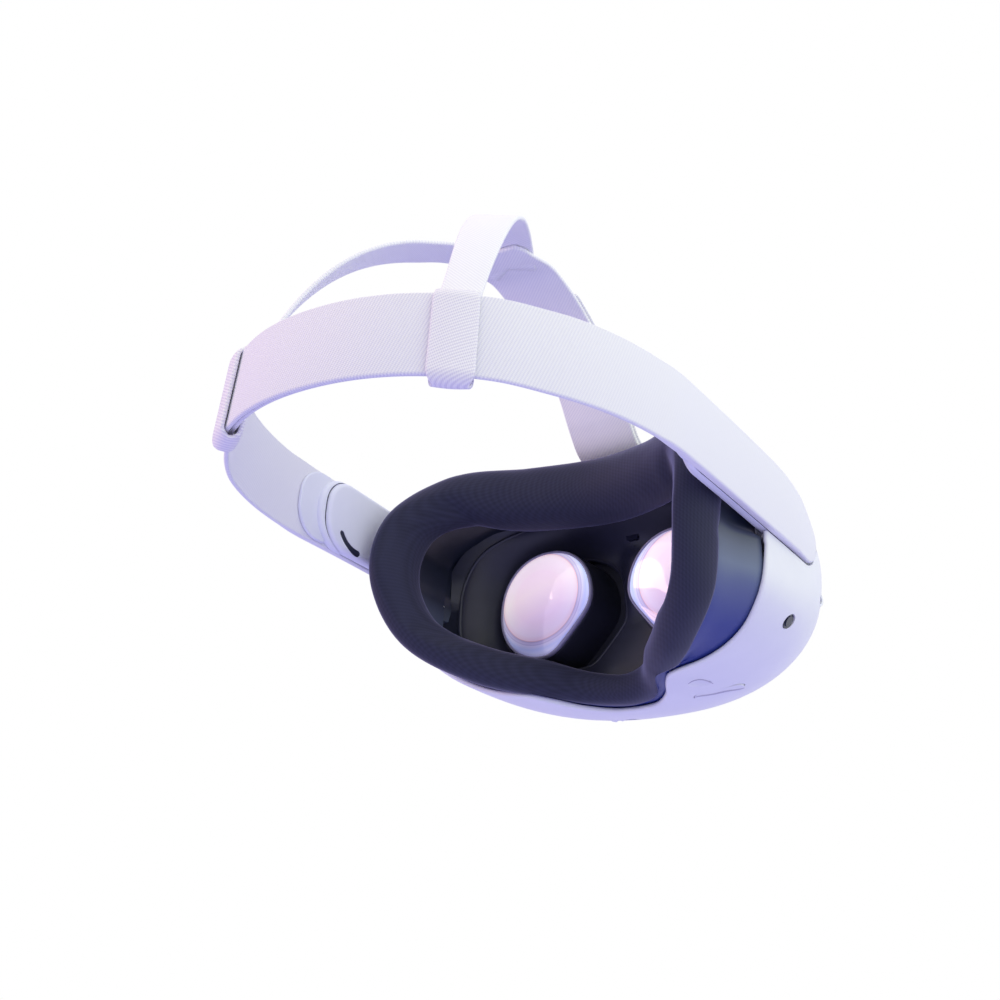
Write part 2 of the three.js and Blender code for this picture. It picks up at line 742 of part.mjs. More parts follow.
function heatSpreader() {
  return join(
    plateY(roundedRect(-28, 2, 46, 40, 3), -64.9, -63.9),
    ...range(5).map((i) => box([-46 + i * 8, -64.2, -16], [-44.6 + i * 8, -62.9, 20])),
  );
}
const battery = () => plateY(roundedRect(0, -9, 72, 27, 3), -73.2, -67.4);
const frontCamera = (side) =>
  join(
    box([side * 30 - 5, -73.6, 10], [side * 30 + 5, -67.4, 20]),
    rod([side * 30, -75.8, 15], [side * 30, -73, 15], 3.8, 14),
  );
const statusLed = () => rod([0, -80.2, -31], [0, -70, -31], 1.2, 12);

const FAN = { x: 0, z: 14, radius: 19 };
function fanHousing() {
  const cup = cut(
    rod([FAN.x, -60.1, FAN.z], [FAN.x, -50.6, FAN.z], FAN.radius, 24),
    rod([FAN.x, -59.1, FAN.z], [FAN.x, -49, FAN.z], FAN.radius - 1.2, 24),
    box([-11, -59.1, 28], [11, -48, 40]),
  );
  const post = rod([FAN.x, -59.5, FAN.z], [FAN.x, -52.5, FAN.z], 1.2, 8);
  return join(cup, post);
}
function fanRotor() {
  const hub = cut(
    rod([FAN.x, -58.4, FAN.z], [FAN.x, -51.3, FAN.z], 6, 16),
    rod([FAN.x, -60, FAN.z], [FAN.x, -51.8, FAN.z], 1.5, 8),
  );
  const blades = range(9).map((i) =>
    box([5.2, -58, -0.5], [16.6, -52.4, 0.5])
      .rotateY((i * 2 * Math.PI) / 9)
      .translate(FAN.x, 0, FAN.z),
  );
  return join(hub, ...blades);
}

// ---- Strap ----

// Plan of one half of the strap, from the visor to the middle of the back, as [x, y] with arc length.
const PLAN = (() => {
  const points = [[STRAP.frontX, STRAP.front]];
  const straightSteps = 12;
  for (let i = 1; i <= straightSteps; i++) {
    const t = i / straightSteps;
    points.push([lerp(STRAP.frontX, STRAP.sideX, t), lerp(STRAP.front, STRAP.turnY, t)]);
  }
  const turnSteps = 120;
  for (let i = 1; i <= turnSteps; i++) {
    const angle = (i / turnSteps) * (Math.PI / 2);
    points.push([
      STRAP.sideX * Math.cos(angle) ** (2 / STRAP.power),
      STRAP.turnY + (STRAP.rearY - STRAP.turnY) * Math.sin(angle) ** (2 / STRAP.power),
    ]);
  }
  let length = 0;
  return points.map(([x, y], i) => {
    if (i) length += Math.hypot(x - points[i - 1][0], y - points[i - 1][1]);
    return { x, y, s: length };
  });
})();
const HALF_LENGTH = PLAN[PLAN.length - 1].s;

// Plan point at arc length s from the left front; past the middle it continues on the right side.
function planAt(s) {
  const over = s > HALF_LENGTH;
  const q = over ? 2 * HALF_LENGTH - s : s;
  let i = 0;
  while (i < PLAN.length - 2 && PLAN[i + 1].s < q) i++;
  const t = clamp01((q - PLAN[i].s) / (PLAN[i + 1].s - PLAN[i].s));
  const x = lerp(PLAN[i].x, PLAN[i + 1].x, t);
  return [over ? -x : x, lerp(PLAN[i].y, PLAN[i + 1].y, t)];
}

// A point on the strap: s along it, n outward from its middle layer, t upward from its middle height.
function strapPoint(s, n, t) {
  const [x, y] = planAt(s);
  const [xa, ya] = planAt(Math.max(0, s - 1));
  const [xb, yb] = planAt(Math.min(2 * HALF_LENGTH, s + 1));
  const outward = vec(yb - ya, -(xb - xa), 0).normalize();
  const lean = THREE.MathUtils.degToRad(STRAP.lean) * clamp01((y - 21) / 126);
  const middle = STRAP.z + STRAP.rise * (y + 26.25) - STRAP.sag * ((y + 26.25) / 210) ** 2;
  const sideways = n * Math.cos(lean) - t * Math.sin(lean);
  const height = n * Math.sin(lean) + t * Math.cos(lean);
  return vec(x, y, middle + height).addScaledVector(outward, sideways);
}
const halfHeightAt = (s) => {
  const y = planAt(s)[1];
  return lerp(STRAP.halfFront, STRAP.halfRear, clamp01((y + 26.25) / 157.5));
};

// A piece along the strap: sections between inner and outer n, low and high t, all functions of s.
function strapPiece(stations, inner, outer, low, high) {
  return skin(
    stations.map((s) => [
      strapPoint(s, inner(s), low(s)),
      strapPoint(s, outer(s), low(s)),
      strapPoint(s, outer(s), high(s)),
      strapPoint(s, inner(s), high(s)),
    ]),
  );
}

const stations = (from, to, step) => {
  const count = Math.max(1, Math.round((to - from) / step));
  return range(count + 1).map((i) => lerp(from, to, i / count));
};

// How far a corner of the given radius takes an edge in, at a distance from the end.
const cornerIn = (distance, radius) =>
  distance >= radius ? 0 : radius - Math.sqrt(radius ** 2 - (radius - Math.max(distance, 0)) ** 2);

const FRONT_TOP_RADIUS = 21;
const FRONT_BOTTOM_RADIUS = 4;
const armLow = (s) => -halfHeightAt(s) + cornerIn(s + 0.6, FRONT_BOTTOM_RADIUS);
const armHigh = (s) => halfHeightAt(s) - cornerIn(s + 0.4, FRONT_TOP_RADIUS);
const FRONT_STEPS = [0, 1.5, 4, 8, 14, 22];

// Layers, outward from the middle of the band: band, then clip and arm under it.
const BAND = { inner: -1.7, outer: 1.7, thinInner: -1.05, thinOuter: 1.05 };
const ARM = { inner: -6.8, outer: -2.0, end: 105.5, radius: 13.5 };
const CLIP = { inner: -3.3, outer: -2.0, from: 98, to: 117, radius: 13.5 };
const COVER = { inner: -6.8, outer: -5.9, from: 34, to: 99.6, radius: 12.5 };

// The outer band: thick and smooth over the arm, thinner behind it, and in two layers at the back.
function strapBand(side) {
  const layer = side > 0 ? -1 : 1; // the right band runs outside the left one
  const full = 2 * HALF_LENGTH;
  const end = full - SLEEVE.from - 3;
  const crossing = (s) => smooth((s - 172) / 22) * 1.25 * layer;
  const thin = (s) => smooth((s - 112) / 12);
  const inner = (s) => lerp(BAND.inner, BAND.thinInner, thin(s)) + crossing(s);
  const outer = (s) =>
    lerp(BAND.outer, BAND.thinOuter, thin(s)) + crossing(s) - 0.9 * smooth((14 - s) / 14);
  const along = [...FRONT_STEPS, ...stations(40, 100, 20), ...stations(112, end, 8.5)];
  const low = (s) => (s > 60 ? -halfHeightAt(s) : armLow(s));
  const high = (s) => (s > 60 ? halfHeightAt(s) : armHigh(s));
  const made = strapPiece(along, inner, outer, low, high);
  return side > 0 ? made : mirrored(made);
}

const endRounding = (s, end, radius) => cornerIn(end - s, radius);

function armSolid() {
  const along = [...FRONT_STEPS, ...stations(40, 80, 20), ARM.end - ARM.radius, ARM.end - 8, ARM.end - 7.6,
    ...stations(ARM.end - 5, ARM.end, 1.7)];
  const outer = (s) => (s > ARM.end - 7.8 ? CLIP.inner - GAP : ARM.outer);
  return strapPiece(
    along,
    () => ARM.inner,
    outer,
    (s) => armLow(s) + endRounding(s, ARM.end, ARM.radius) * 0.98,
    (s) => armHigh(s) - endRounding(s, ARM.end, ARM.radius) * 0.98,
  );
}

function coverSolid(grow) {
  const from = COVER.from - grow;
  const to = COVER.to + grow;
  const margin = 1.4 - grow;
  const along = [
    ...stations(from, from + 6, 3),
    ...stations(from + 26, to - 13, 13),
    ...stations(to - 9, to, 1.8),
  ];
  const radius = COVER.radius;
  return strapPiece(
    along,
    () => COVER.inner - (grow ? 1 : 0),
    () => COVER.outer + grow,
    (s) => -halfHeightAt(s) + margin + cornerIn(s - from, 6) * 0.97 + endRounding(s, to, radius) * 0.97,
    (s) => halfHeightAt(s) - margin - cornerIn(s - from, 6) * 0.97 - endRounding(s, to, radius) * 0.97,
  );
}

const SPEAKER = { from: 62, to: 92, inner: -5.4, outer: -3.1, low: -11.5, high: 3 };
const speakerSolid = (grow) =>
  strapPiece(
    [SPEAKER.from - grow, (SPEAKER.from + SPEAKER.to) / 2, SPEAKER.to + grow],
    () => (grow ? -6.2 : SPEAKER.inner),
    () => SPEAKER.outer + grow,
    () => SPEAKER.low - grow,
    () => SPEAKER.high + grow,
  );

function arm(side) {
  const pin = rod([70, TILT.y, TILT.z], [100, TILT.y, TILT.z], 4.2, 14);
  const head = rod([86.2, TILT.y, TILT.z], [100, TILT.y, TILT.z], 6.2, 14);
  const made = cut(armSolid(), coverSolid(GAP), speakerSolid(GAP), pin, head);
  return side > 0 ? made : mirrored(made);
}

// Curved sound slot, concentric with the cover's rounded end.
function slotTool() {
  const centre = COVER.to - 13.5;
  const radius = 10;
  const half = 1.25;
  const rows = range(8).map((i) => {
    const angle = THREE.MathUtils.degToRad(lerp(-26, -94, i / 7));
    return [[-half, -2], [half, -2], [half, 2], [-half, 2]].map(([dr, dn]) =>
      strapPoint(
        centre + (radius + dr) * Math.cos(angle),
        (COVER.inner + COVER.outer) / 2 + dn,
        (radius + dr) * Math.sin(angle),
      ),
    );
  });
  return skin(rows);
}
function speakerCover(side) {
  const made = cut(coverSolid(0), slotTool());
  return side > 0 ? made : mirrored(made);
}
function speaker(side) {
  const made = speakerSolid(0);
  return side > 0 ? made : mirrored(made);
}

// Thin rounded tongue that clips the fabric to the arm.
function strapClip(side) {
  const { from, to, radius } = CLIP;
  const along = [from, to - radius, ...stations(to - 9, to, 1.8)];
  const made = strapPiece(
    along,
    () => CLIP.inner,
    () => CLIP.outer,
    (s) => -halfHeightAt(s) + 1.6 + endRounding(s, to, radius) * 0.97,
    (s) => halfHeightAt(s) - 1.6 - endRounding(s, to, radius) * 0.97,
  );
  return side > 0 ? made : mirrored(made);
}

function pivotPin(side) {
  const made = join(
    rod([76.6, TILT.y, TILT.z], [78.4, TILT.y, TILT.z], 6.5, 14),
    rod([78, TILT.y, TILT.z], [86.9, TILT.y, TILT.z], 3.9, 14),
    rod([86.6, TILT.y, TILT.z], [88, TILT.y, TILT.z], 5.6, 14),
  );
  return side > 0 ? made : mirrored(made);
}

// Fabric sleeve round both layers of the strap.
function sliderSleeve(side) {
  const along = stations(SLEEVE.from, SLEEVE.to, 4.6);
  const section = (s, n, rise) => {
    const h = halfHeightAt(s) + rise;
    const c = n * 0.45;
    return [
      [-n, -h + c], [-n + c, -h], [n - c, -h], [n, -h + c],
      [n, h - c], [n - c, h], [-n + c, h], [-n, h - c],
    ].map(([across, t]) => strapPoint(s, across, t));
  };
  const outer = along.map((s) => section(s, 4.7, 2.1));
  const inner = [...along].reverse().map((s) => section(s, 3.1, 0.9));
  const made = skin([...outer, ...inner], true);
  return side > 0 ? made : mirrored(made);
}

// ---- Top strap ----

const topCurve = new THREE.CatmullRomCurve3(TOP_STRAP.map(([y, z]) => vec(0, y, z)), false, "centripetal");
const TOP_THICKNESS = 1.9;

function ribbon(frames) {
  return skin(
    frames.map(({ p, across, normal, half, thick }) =>
      [[-1, -0.5], [1, -0.5], [1, 0.5], [-1, 0.5]].map(([u, v]) =>
        p.clone().addScaledVector(across, u * half).addScaledVector(normal, v * thick),
      ),
    ),
  );
}

function topStrapFrame(t) {
  const p = topCurve.getPoint(t);
  const tangent = topCurve.getTangent(t);
  return {
    p,
    across: vec(1, 0, 0),
    normal: vec(0, -tangent.z, tangent.y),
    half: TOP_STRAP_HALF,
    thick: TOP_THICKNESS,
  };
}

// Wide front strap; its front end loops round the anchor's bar and is pressed back on itself.
function topStrap() {
  const run = range(17).map((i) => topStrapFrame(i / 16));
  const bar = vec(0, ANCHOR.y, ANCHOR.z);
  const loopRadius = 2.9;
  const loop = range(9).map((i) => {
    const angle = THREE.MathUtils.degToRad(lerp(-70, 130, i / 8));
    const radial = vec(0, -Math.cos(angle), Math.sin(angle));
    return {
      p: bar.clone().addScaledVector(radial, loopRadius),
      across: vec(1, 0, 0),
      normal: radial,
      half: TOP_STRAP_HALF,
      thick: 1.5,
    };
  });
  return ribbon([...loop, ...run]);
}

const ANCHOR = { y: -35.2, z: 54.2 };
const ANCHOR_HOLES = [1, -1].map((side) =>
  rod([side * 19.5, ANCHOR.y, 40], [side * 19.5, ANCHOR.y, 60], 1.6, 10),
);
// Bar on two feet, screwed to the top of the visor.
function topStrapAnchor() {
  const bar = rod([-21, ANCHOR.y, ANCHOR.z], [21, ANCHOR.y, ANCHOR.z], 1.5, 10);
  const ends = [1, -1].map((side) =>
    join(
      box([side * 19.5 - 1.8, ANCHOR.y - 3, 49.7], [side * 19.5 + 1.8, ANCHOR.y + 3, 51.2]),
      box([side * 19.5 - 1.8, ANCHOR.y - 1.8, 50.5], [side * 19.5 + 1.8, ANCHOR.y + 1.8, 55.9]),
      rod([side * 19.5, ANCHOR.y, 44], [side * 19.5, ANCHOR.y, 50.5], 1.3, 8),
    ),
  );
  return join(bar, ...ends);
}

// Narrow branch from the seam down to the top of one sleeve, turning to lie flat against the head.
function topBranch(side) {
  const path = new THREE.CubicBezierCurve3(
    vec(...BRANCH.start),
    vec(...BRANCH.leave),
    vec(...BRANCH.arrive),
    vec(...BRANCH.end),
  );
  const head = vec(0, 70, 20);
  const frames = range(19).map((i) => {
    const t = lerp(...BRANCH.shown, i / 18);
    const p = path.getPoint(t);
    const tangent = path.getTangent(t);
    const away = p.clone().sub(head).normalize();
    const across = away.clone().cross(tangent).normalize();
    const normal = tangent.clone().cross(across).normalize();
    return { p, across, normal, half: lerp(7.4, BRANCH.halfWidth, smooth(t * 4)), thick: TOP_THICKNESS };
  });
  const made = ribbon(frames);
  return side > 0 ? made : mirrored(made);
}

// ---- Assembly ----

const COLOURS = {
  shell: [0xe9eaf6, 0.45, 0],
  dark: [0x1b1d2a, 0.6, 0],
  slate: [0x4a5578, 0.4, 0],
  cushion: [0x2c2c42, 0.9, 0],
  strap: [0xe6e4f2, 0.85, 0],
  glass: [0x14151f, 0.1, 0],
  lens: [0xe3cfe6, 0.08, 0],
  metal: [0x9a9ca3, 0.4, 0.9],
  board: [0x1f4a36, 0.6, 0],
  pack: [0x30333a, 0.6, 0.1],
};

const headset = new THREE.Group();
const material = (key) => {
  const [color, roughness, metalness] = COLOURS[key];
  return new THREE.MeshStandardMaterial({ color, roughness, metalness });
};
function add(name, geometry, key) {
  const mesh = new THREE.Mesh(geometry, material(key));
  mesh.name = name;
  headset.add(mesh);
}
const SIDES = [["left", 1], ["right", -1]];

add("front_cover", frontCover(), "shell");
add("rear_housing", rearHousing(), "shell");
add("mid_frame", midFrame(), "metal");
add("mainboard", mainboard(), "board");
add("heat_spreader", heatSpreader(), "metal");
add("battery_pack", battery(), "pack");
add("fan_housing", fanHousing(), "dark");
add("fan_rotor", fanRotor(), "dark");
add("status_led", statusLed(), "lens");
add("eye_plate", eyePlate(), "dark");
add("proximity_sensor", proximitySensor(), "glass");
add("guide_rod_upper", guideRodUpper(), "metal");
add("usb_port", usbPort(), "metal");
add("audio_jack", audioJack(), "metal");
add("power_button", powerButton(), "shell");
add("volume_rocker", volumeRocker(), "shell");
add("ipd_wheel", ipdWheel(), "dark");
add("interface_frame", interfaceFrame(), "slate");
add("face_cushion", faceCushion(), "cushion");
add("top_strap_anchor", topStrapAnchor(), "metal");
add("top_strap", topStrap(), "strap");
SCREWS.forEach((place, i) => add(`frame_screw_${i + 1}`, frameScrew(place), "metal"));

for (const [name, side] of SIDES) {
  const flip = (geometry) => (side > 0 ? geometry : mirrored(geometry));
  add(`camera_window_${name}`, cameraWindow(side), "glass");
  add(`front_camera_${name}`, frontCamera(side), "dark");
  add(`side_camera_${name}`, sideCamera(side), "glass");
  add(`lens_barrel_${name}`, flip(lensBarrel()), "dark");
  add(`lens_${name}`, flip(lens()), "lens");
  add(`display_${name}`, flip(display()), "glass");
  add(`guide_rod_lower_${name}`, guideRodLower(side), "metal");
  add(`ipd_rack_${name}`, ipdRack(side), "metal");
  add(`depth_button_${name}`, depthButton(side), "dark");
  add(`pivot_pin_${name}`, pivotPin(side), "metal");
  add(`strap_arm_${name}`, arm(side), "shell");
  add(`speaker_${name}`, speaker(side), "dark");
  add(`speaker_cover_${name}`, speakerCover(side), "shell");
  add(`strap_clip_${name}`, strapClip(side), "shell");
  add(`strap_band_${name}`, strapBand(side), "strap");
  add(`slider_sleeve_${name}`, sliderSleeve(side), "strap");
  add(`top_strap_branch_${name}`, topBranch(side), "strap");
}

export default headset;
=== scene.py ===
import json
from math import atan2, copysign, cos, exp, hypot, log, pi, radians, sin, sqrt

import bmesh
import bpy
import numpy as np
from mathutils import Matrix, Vector
from mathutils.kdtree import KDTree


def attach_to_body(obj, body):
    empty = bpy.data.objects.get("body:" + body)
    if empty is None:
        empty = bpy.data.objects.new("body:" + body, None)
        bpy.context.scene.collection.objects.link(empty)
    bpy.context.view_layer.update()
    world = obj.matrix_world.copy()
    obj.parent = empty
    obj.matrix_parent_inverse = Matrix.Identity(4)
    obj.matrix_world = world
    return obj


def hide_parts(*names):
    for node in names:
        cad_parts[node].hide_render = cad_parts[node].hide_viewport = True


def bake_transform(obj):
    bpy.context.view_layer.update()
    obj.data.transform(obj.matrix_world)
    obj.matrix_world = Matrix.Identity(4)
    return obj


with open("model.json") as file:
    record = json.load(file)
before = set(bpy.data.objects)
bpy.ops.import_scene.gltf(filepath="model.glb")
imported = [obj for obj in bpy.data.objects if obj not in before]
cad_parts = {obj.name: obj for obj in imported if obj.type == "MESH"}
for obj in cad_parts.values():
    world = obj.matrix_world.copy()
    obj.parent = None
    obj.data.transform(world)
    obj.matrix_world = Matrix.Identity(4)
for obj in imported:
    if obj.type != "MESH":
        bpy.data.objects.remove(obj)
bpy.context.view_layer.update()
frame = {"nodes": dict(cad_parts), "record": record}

# Lengths are in millimetres until a mesh is made. +Z is up, -Y the front, +X the wearer's left.
MM = 0.001
SCENE = bpy.context.scene
NODES = frame["nodes"]
SIDES = (("left", 1), ("right", -1))

# ---- Dimensions shared with the CAD model ----

HALF_WIDTH, TOP, BOTTOM = 92.1, 49.4, 46.1
FRONT_Y, WIDEST_Y, SPLIT_Y = -82.8, -7.6, -61.8
PLAN_POWER, PROFILE_POWER, OUTLINE_POWER = 2.65, 3.91, 2.39
WALL = 2.2
RIM_TOP = [(0, -21), (30, -17), (58, -6), (76, 1.5), (86, 5), (92.1, 6.2)]
RIM_BOTTOM = [(0, -40.5), (12, -38), (23, -28), (29.5, -17.4), (36.5, -9.5),
              (54, -8.6), (65, -7.1), (76, -3.3), (86, 2.7), (92.1, 6.2)]
RING = [(0, -9.1, 46, 14.3, 14.3), (31.7, 0.2, 44.2, 14, 14.3), (58.2, 18, 40.4, 12, 15),
        (72.5, 32.7, 25.3, 9.2, 15.5), (75.4, 37.2, 1.5, 8.2, 15), (68.9, 28, -20, 8.8, 13.5),
        (49.9, 9.1, -32.3, 8.6, 12.5), (28.5, -13, -36.3, 8, 11), (14.2, -29, -38, 7, 9),
        (0, -33, -39.2, 6.6, 8.6)]
LENS_X, LENS_Y, LENS_W, LENS_H = 33.6, -13.7, 23.1, 23.6
LENS_POWER, LENS_CUT, LENS_CUT_ANGLE = 2.15, 19.6, 222
POCKET_FLOOR, POCKET_BOTTOM, POCKET_TOP, POCKET_FRONT = 82.9, 0.1, 38.5, -34.9
SLEEVE_FROM, SLEEVE_TO = 199.2, 216.2

# ---- Mesh helpers ----


def lerp(a, b, t):
    return a + (b - a) * t


def smooth(t):
    t = min(1.0, max(0.0, t))
    return t * t * (3 - 2 * t)


def hermite(a, slope_a, b, slope_b, t):
    return (a * (2 * t**3 - 3 * t**2 + 1) + slope_a * (t**3 - 2 * t**2 + t)
            + b * (3 * t**2 - 2 * t**3) + slope_b * (t**3 - t**2))


def follow(pairs, key):
    """Smooth curve through (key, value) pairs."""
    last = len(pairs) - 1
    k = min(max(key, pairs[0][0]), pairs[last][0])
    i = 0
    while i < last - 1 and k > pairs[i + 1][0]:
        i += 1

    def slope(j):
        a, b = pairs[max(j - 1, 0)], pairs[min(j + 1, last)]
        return (b[1] - a[1]) / (b[0] - a[0])

    h = pairs[i + 1][0] - pairs[i][0]
    return hermite(pairs[i][1], h * slope(i), pairs[i + 1][1], h * slope(i + 1), (k - pairs[i][0]) / h)


def spline(p0, p1, p2, p3, t):
    """Point and direction a share t of the way from p1 to p2 on a centripetal curve."""
    d0, d1, d2 = (sqrt((b - a).length) for a, b in ((p0, p1), (p1, p2), (p2, p3)))
    m1 = ((p1 - p0) / d0 - (p2 - p0) / (d0 + d1) + (p2 - p1) / d1) * d1
    m2 = ((p2 - p1) / d1 - (p3 - p1) / (d1 + d2) + (p3 - p2) / d2) * d1
    slope = (p1 * (6 * t**2 - 6 * t) + m1 * (3 * t**2 - 4 * t + 1)
             + p2 * (6 * t - 6 * t**2) + m2 * (3 * t**2 - 2 * t))
    return hermite(p1, m1, p2, m2, t), slope.normalized()


def turns(n):
    """n angles evenly round a full turn."""
    return [2 * pi * i / n for i in range(n)]


def arc(cx, cy, rx, ry, start, end, steps):
    """Points along an elliptical arc between two angles in degrees."""
    angles = [radians(lerp(start, end, i / steps)) for i in range(steps + 1)]
    return [(cx + rx * cos(a), cy + ry * sin(a)) for a in angles]


def run_along(points):
    """Running length at each point of a line."""
    return np.concatenate([[0], np.cumsum(np.linalg.norm(np.diff(points, axis=0), axis=1))])


def even_spread(curve, last, steps, n):
    """n parameters of a closed curve, evenly spread by length, and its whole length."""
    fine = np.linspace(0, last, steps)
    run = run_along(np.array([curve(t) for t in fine]))
    return np.interp(np.linspace(0, run[-1], n, endpoint=False), run, fine), run[-1]


def flat(rows):
    return [p for row in rows for p in row]


def grid_faces(count, n, ring=False):
    """Faces between count rows of n points; each row closes on itself, and so do the rows of a ring."""
    faces = []
    for i in range(count if ring else count - 1):
        k = (i + 1) % count
        faces += [(i * n + j, i * n + (j + 1) % n, k * n + (j + 1) % n, k * n + j) for j in range(n)]
    return faces


def place(name, data):
    obj = bpy.data.objects.new(name, data)
    SCENE.collection.objects.link(obj)
    return obj


def mesh_from(name, points, faces, uvs=None):
    """A smooth object from points in millimetres; uvs holds one (u, v) per point."""
    mesh = bpy.data.meshes.new(name)
    mesh.from_pydata([tuple(c * MM for c in p) for p in points], [], faces)
    if uvs is not None:
        layer = mesh.uv_layers.new(name="cloth")
        for loop in mesh.loops:
            layer.data[loop.index].uv = uvs[loop.vertex_index]
    bm = bmesh.new()
    bm.from_mesh(mesh)
    bmesh.ops.recalc_face_normals(bm, faces=bm.faces)
    bm.to_mesh(mesh)
    bm.free()
    mesh.shade_smooth()
    return place(name, mesh)


def skin(name, rows, ring=False, uvs=None):
    """Closed surface through rows of equally many points; each row closes on itself."""
    n = len(rows[0])
    faces = grid_faces(len(rows), n, ring)
    if not ring:
        faces += [tuple(reversed(range(n))), tuple(range((len(rows) - 1) * n, len(rows) * n))]
    return mesh_from(name, flat(rows), faces, uvs and flat(uvs))


def bake(obj):
    """Replaces an object's mesh by what its modifiers make of it."""
    bpy.context.view_layer.update()
    graph = bpy.context.evaluated_depsgraph_get()
    made = bpy.data.meshes.new_from_object(obj.evaluated_get(graph))
    obj.modifiers.clear()
    obj.data = made
    return obj


def sharpen(obj, degrees=38):
    obj.data.shade_smooth()
    obj.data.set_sharp_from_angle(angle=radians(degrees))
    return obj


def boolean(obj, operation, *tools):
    """Cuts the tools away, or keeps what lies inside them."""
    for tool in tools:
        step = obj.modifiers.new("cut", "BOOLEAN")
        step.operation, step.solver, step.object = operation, "EXACT", tool
    bake(obj)
    for tool in tools:
        bpy.data.objects.remove(tool)
    return sharpen(obj)


def cut(obj, *tools):
    return boolean(obj, "DIFFERENCE", *tools)


def on_side(obj, side):
    """The object as made for the left, or mirrored for the right."""
    if side < 0:
        obj.data.transform(Matrix.Scale(-1, 4, (1, 0, 0)))
        obj.data.flip_normals()
    return obj


def finish(obj, body, material, nodes=()):
    """body is None for a piece that spans two bodies; it is attached to neither."""
    obj.data.materials.clear()
    obj.data.materials.append(material)
    if body:
        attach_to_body(obj, body)
    if nodes:
        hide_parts(*nodes)
    return obj


def prism(name, outline, low, high, axis="Y"):
    """A prism of (a, b) points: along Y the outline is (x, z), along Z (x, y) and along X (y, z)."""
    order = {"Y": (0, 2, 1), "Z": (0, 1, 2), "X": (2, 0, 1)}[axis]
    n = len(outline)
    points = [tuple((a, b, c)[k] for k in order) for c in (low, high) for a, b in outline]
    return mesh_from(name, points, [tuple(range(n)), tuple(range(2 * n - 1, n - 1, -1)), *grid_faces(2, n)])


def rounded(cx, cz, width, height, radius, n=8):
    """Outline of a rectangle with round corners."""
    out = []
    for sx, sz, start in ((1, 1, 0), (-1, 1, 90), (-1, -1, 180), (1, -1, 270)):
        out += arc(cx + sx * (width / 2 - radius), cz + sz * (height / 2 - radius), radius, radius,
                   start, start + 90, n)
    return out


def rod(name, start, end, radius, end_radius=None):
    a, b = Vector(start), Vector(end)
    turn = Vector((0, 0, 1)).rotation_difference(b - a)
    return skin(name, [[tuple(p + turn @ Vector((r * cos(q), r * sin(q), 0))) for q in turns(32)]
                       for p, r in ((a, radius), (b, end_radius or radius))])


# ---- Materials ----


def add_node(tree, kind, inputs=None, **settings):
    """Adds one shader node; an input is a value or the socket it is linked to."""
    made = tree.nodes.new("ShaderNode" + kind)
    for key, value in settings.items():
        setattr(made, key, value)
    for key, value in (inputs or {}).items():
        if hasattr(value, "is_output"):
            tree.links.new(value, made.inputs[key])
        else:
            made.inputs[key].default_value = value
    return made


class Shader:
    """A material whose node tree is being filled."""

    def __init__(self, name):
        self.material = bpy.data.materials.new(name)
        self.material.use_nodes = True
        self.tree = self.material.node_tree
        self.shader = self.tree.nodes["Principled BSDF"]

    def set(self, **values):
        for key, value in values.items():
            self.shader.inputs[key.replace("_", " ")].default_value = value

    def link(self, socket, name):
        self.tree.links.new(socket, self.shader.inputs[name])

    def node(self, kind, inputs=None, **settings):
        return add_node(self.tree, kind, inputs, **settings)

    def math(self, operation, a, b=0.0, c=0.5):
        return self.node("Math", {0: a, 1: b, 2: c}, operation=operation).outputs[0]

    def add(self, a, b):
        return self.math("ADD", a, b)

    def times(self, a, b):
        return self.math("MULTIPLY", a, b)

    def wave(self, phase):
        """Sine wave from 0 to 1."""
        return self.math("MULTIPLY_ADD", self.math("SINE", phase), 0.5)

    def coords(self):
        return self.node("TexCoord").outputs["Object"]

    def parts(self, vector):
        return self.node("SeparateXYZ", {0: vector}).outputs

    def noise(self, scale, detail=4.0):
        inputs = {"Vector": self.coords(), "Scale": scale, "Detail": detail}
        return self.node("TexNoise", inputs).outputs["Fac"]

    def ramp(self, factor, stops):
        made = self.node("ValToRGB", {"Fac": factor})
        ramp = made.color_ramp
        while len(ramp.elements) < len(stops):
            ramp.elements.new(0.5)
        for element, (at, colour) in zip(ramp.elements, stops):
            element.position = at
            element.color = (*colour, 1)
        return made.outputs["Color"]

    def colour(self, factor, stops):
        self.link(self.ramp(factor, stops), "Base Color")

    def gloss(self, low, high, scale, detail=4.0):
        """Uneven roughness."""
        spread = self.node("MapRange", {"Value": self.noise(scale, detail), "To Min": low, "To Max": high})
        self.link(spread.outputs[0], "Roughness")

    def bump(self, height, strength, distance):
        made = self.node("Bump", {"Height": height, "Strength": strength, "Distance": distance})
        self.link(made.outputs[0], "Normal")


def plastic(name, dark, light, rough, grain=2600.0, depth=0.00003, coat=0.0, metallic=0.0):
    """Moulded plastic or plain metal: cloudy colour, uneven gloss and a fine grain."""
    s = Shader(name)
    s.colour(s.noise(40.0), [(0.3, dark), (0.7, light)])
    s.gloss(rough - 0.05, rough + 0.07, 180.0, 6.0)
    s.set(Metallic=metallic, Coat_Weight=coat, Coat_Roughness=0.25)
    s.bump(s.noise(grain, 3.0), 0.35, depth)
    return s.material


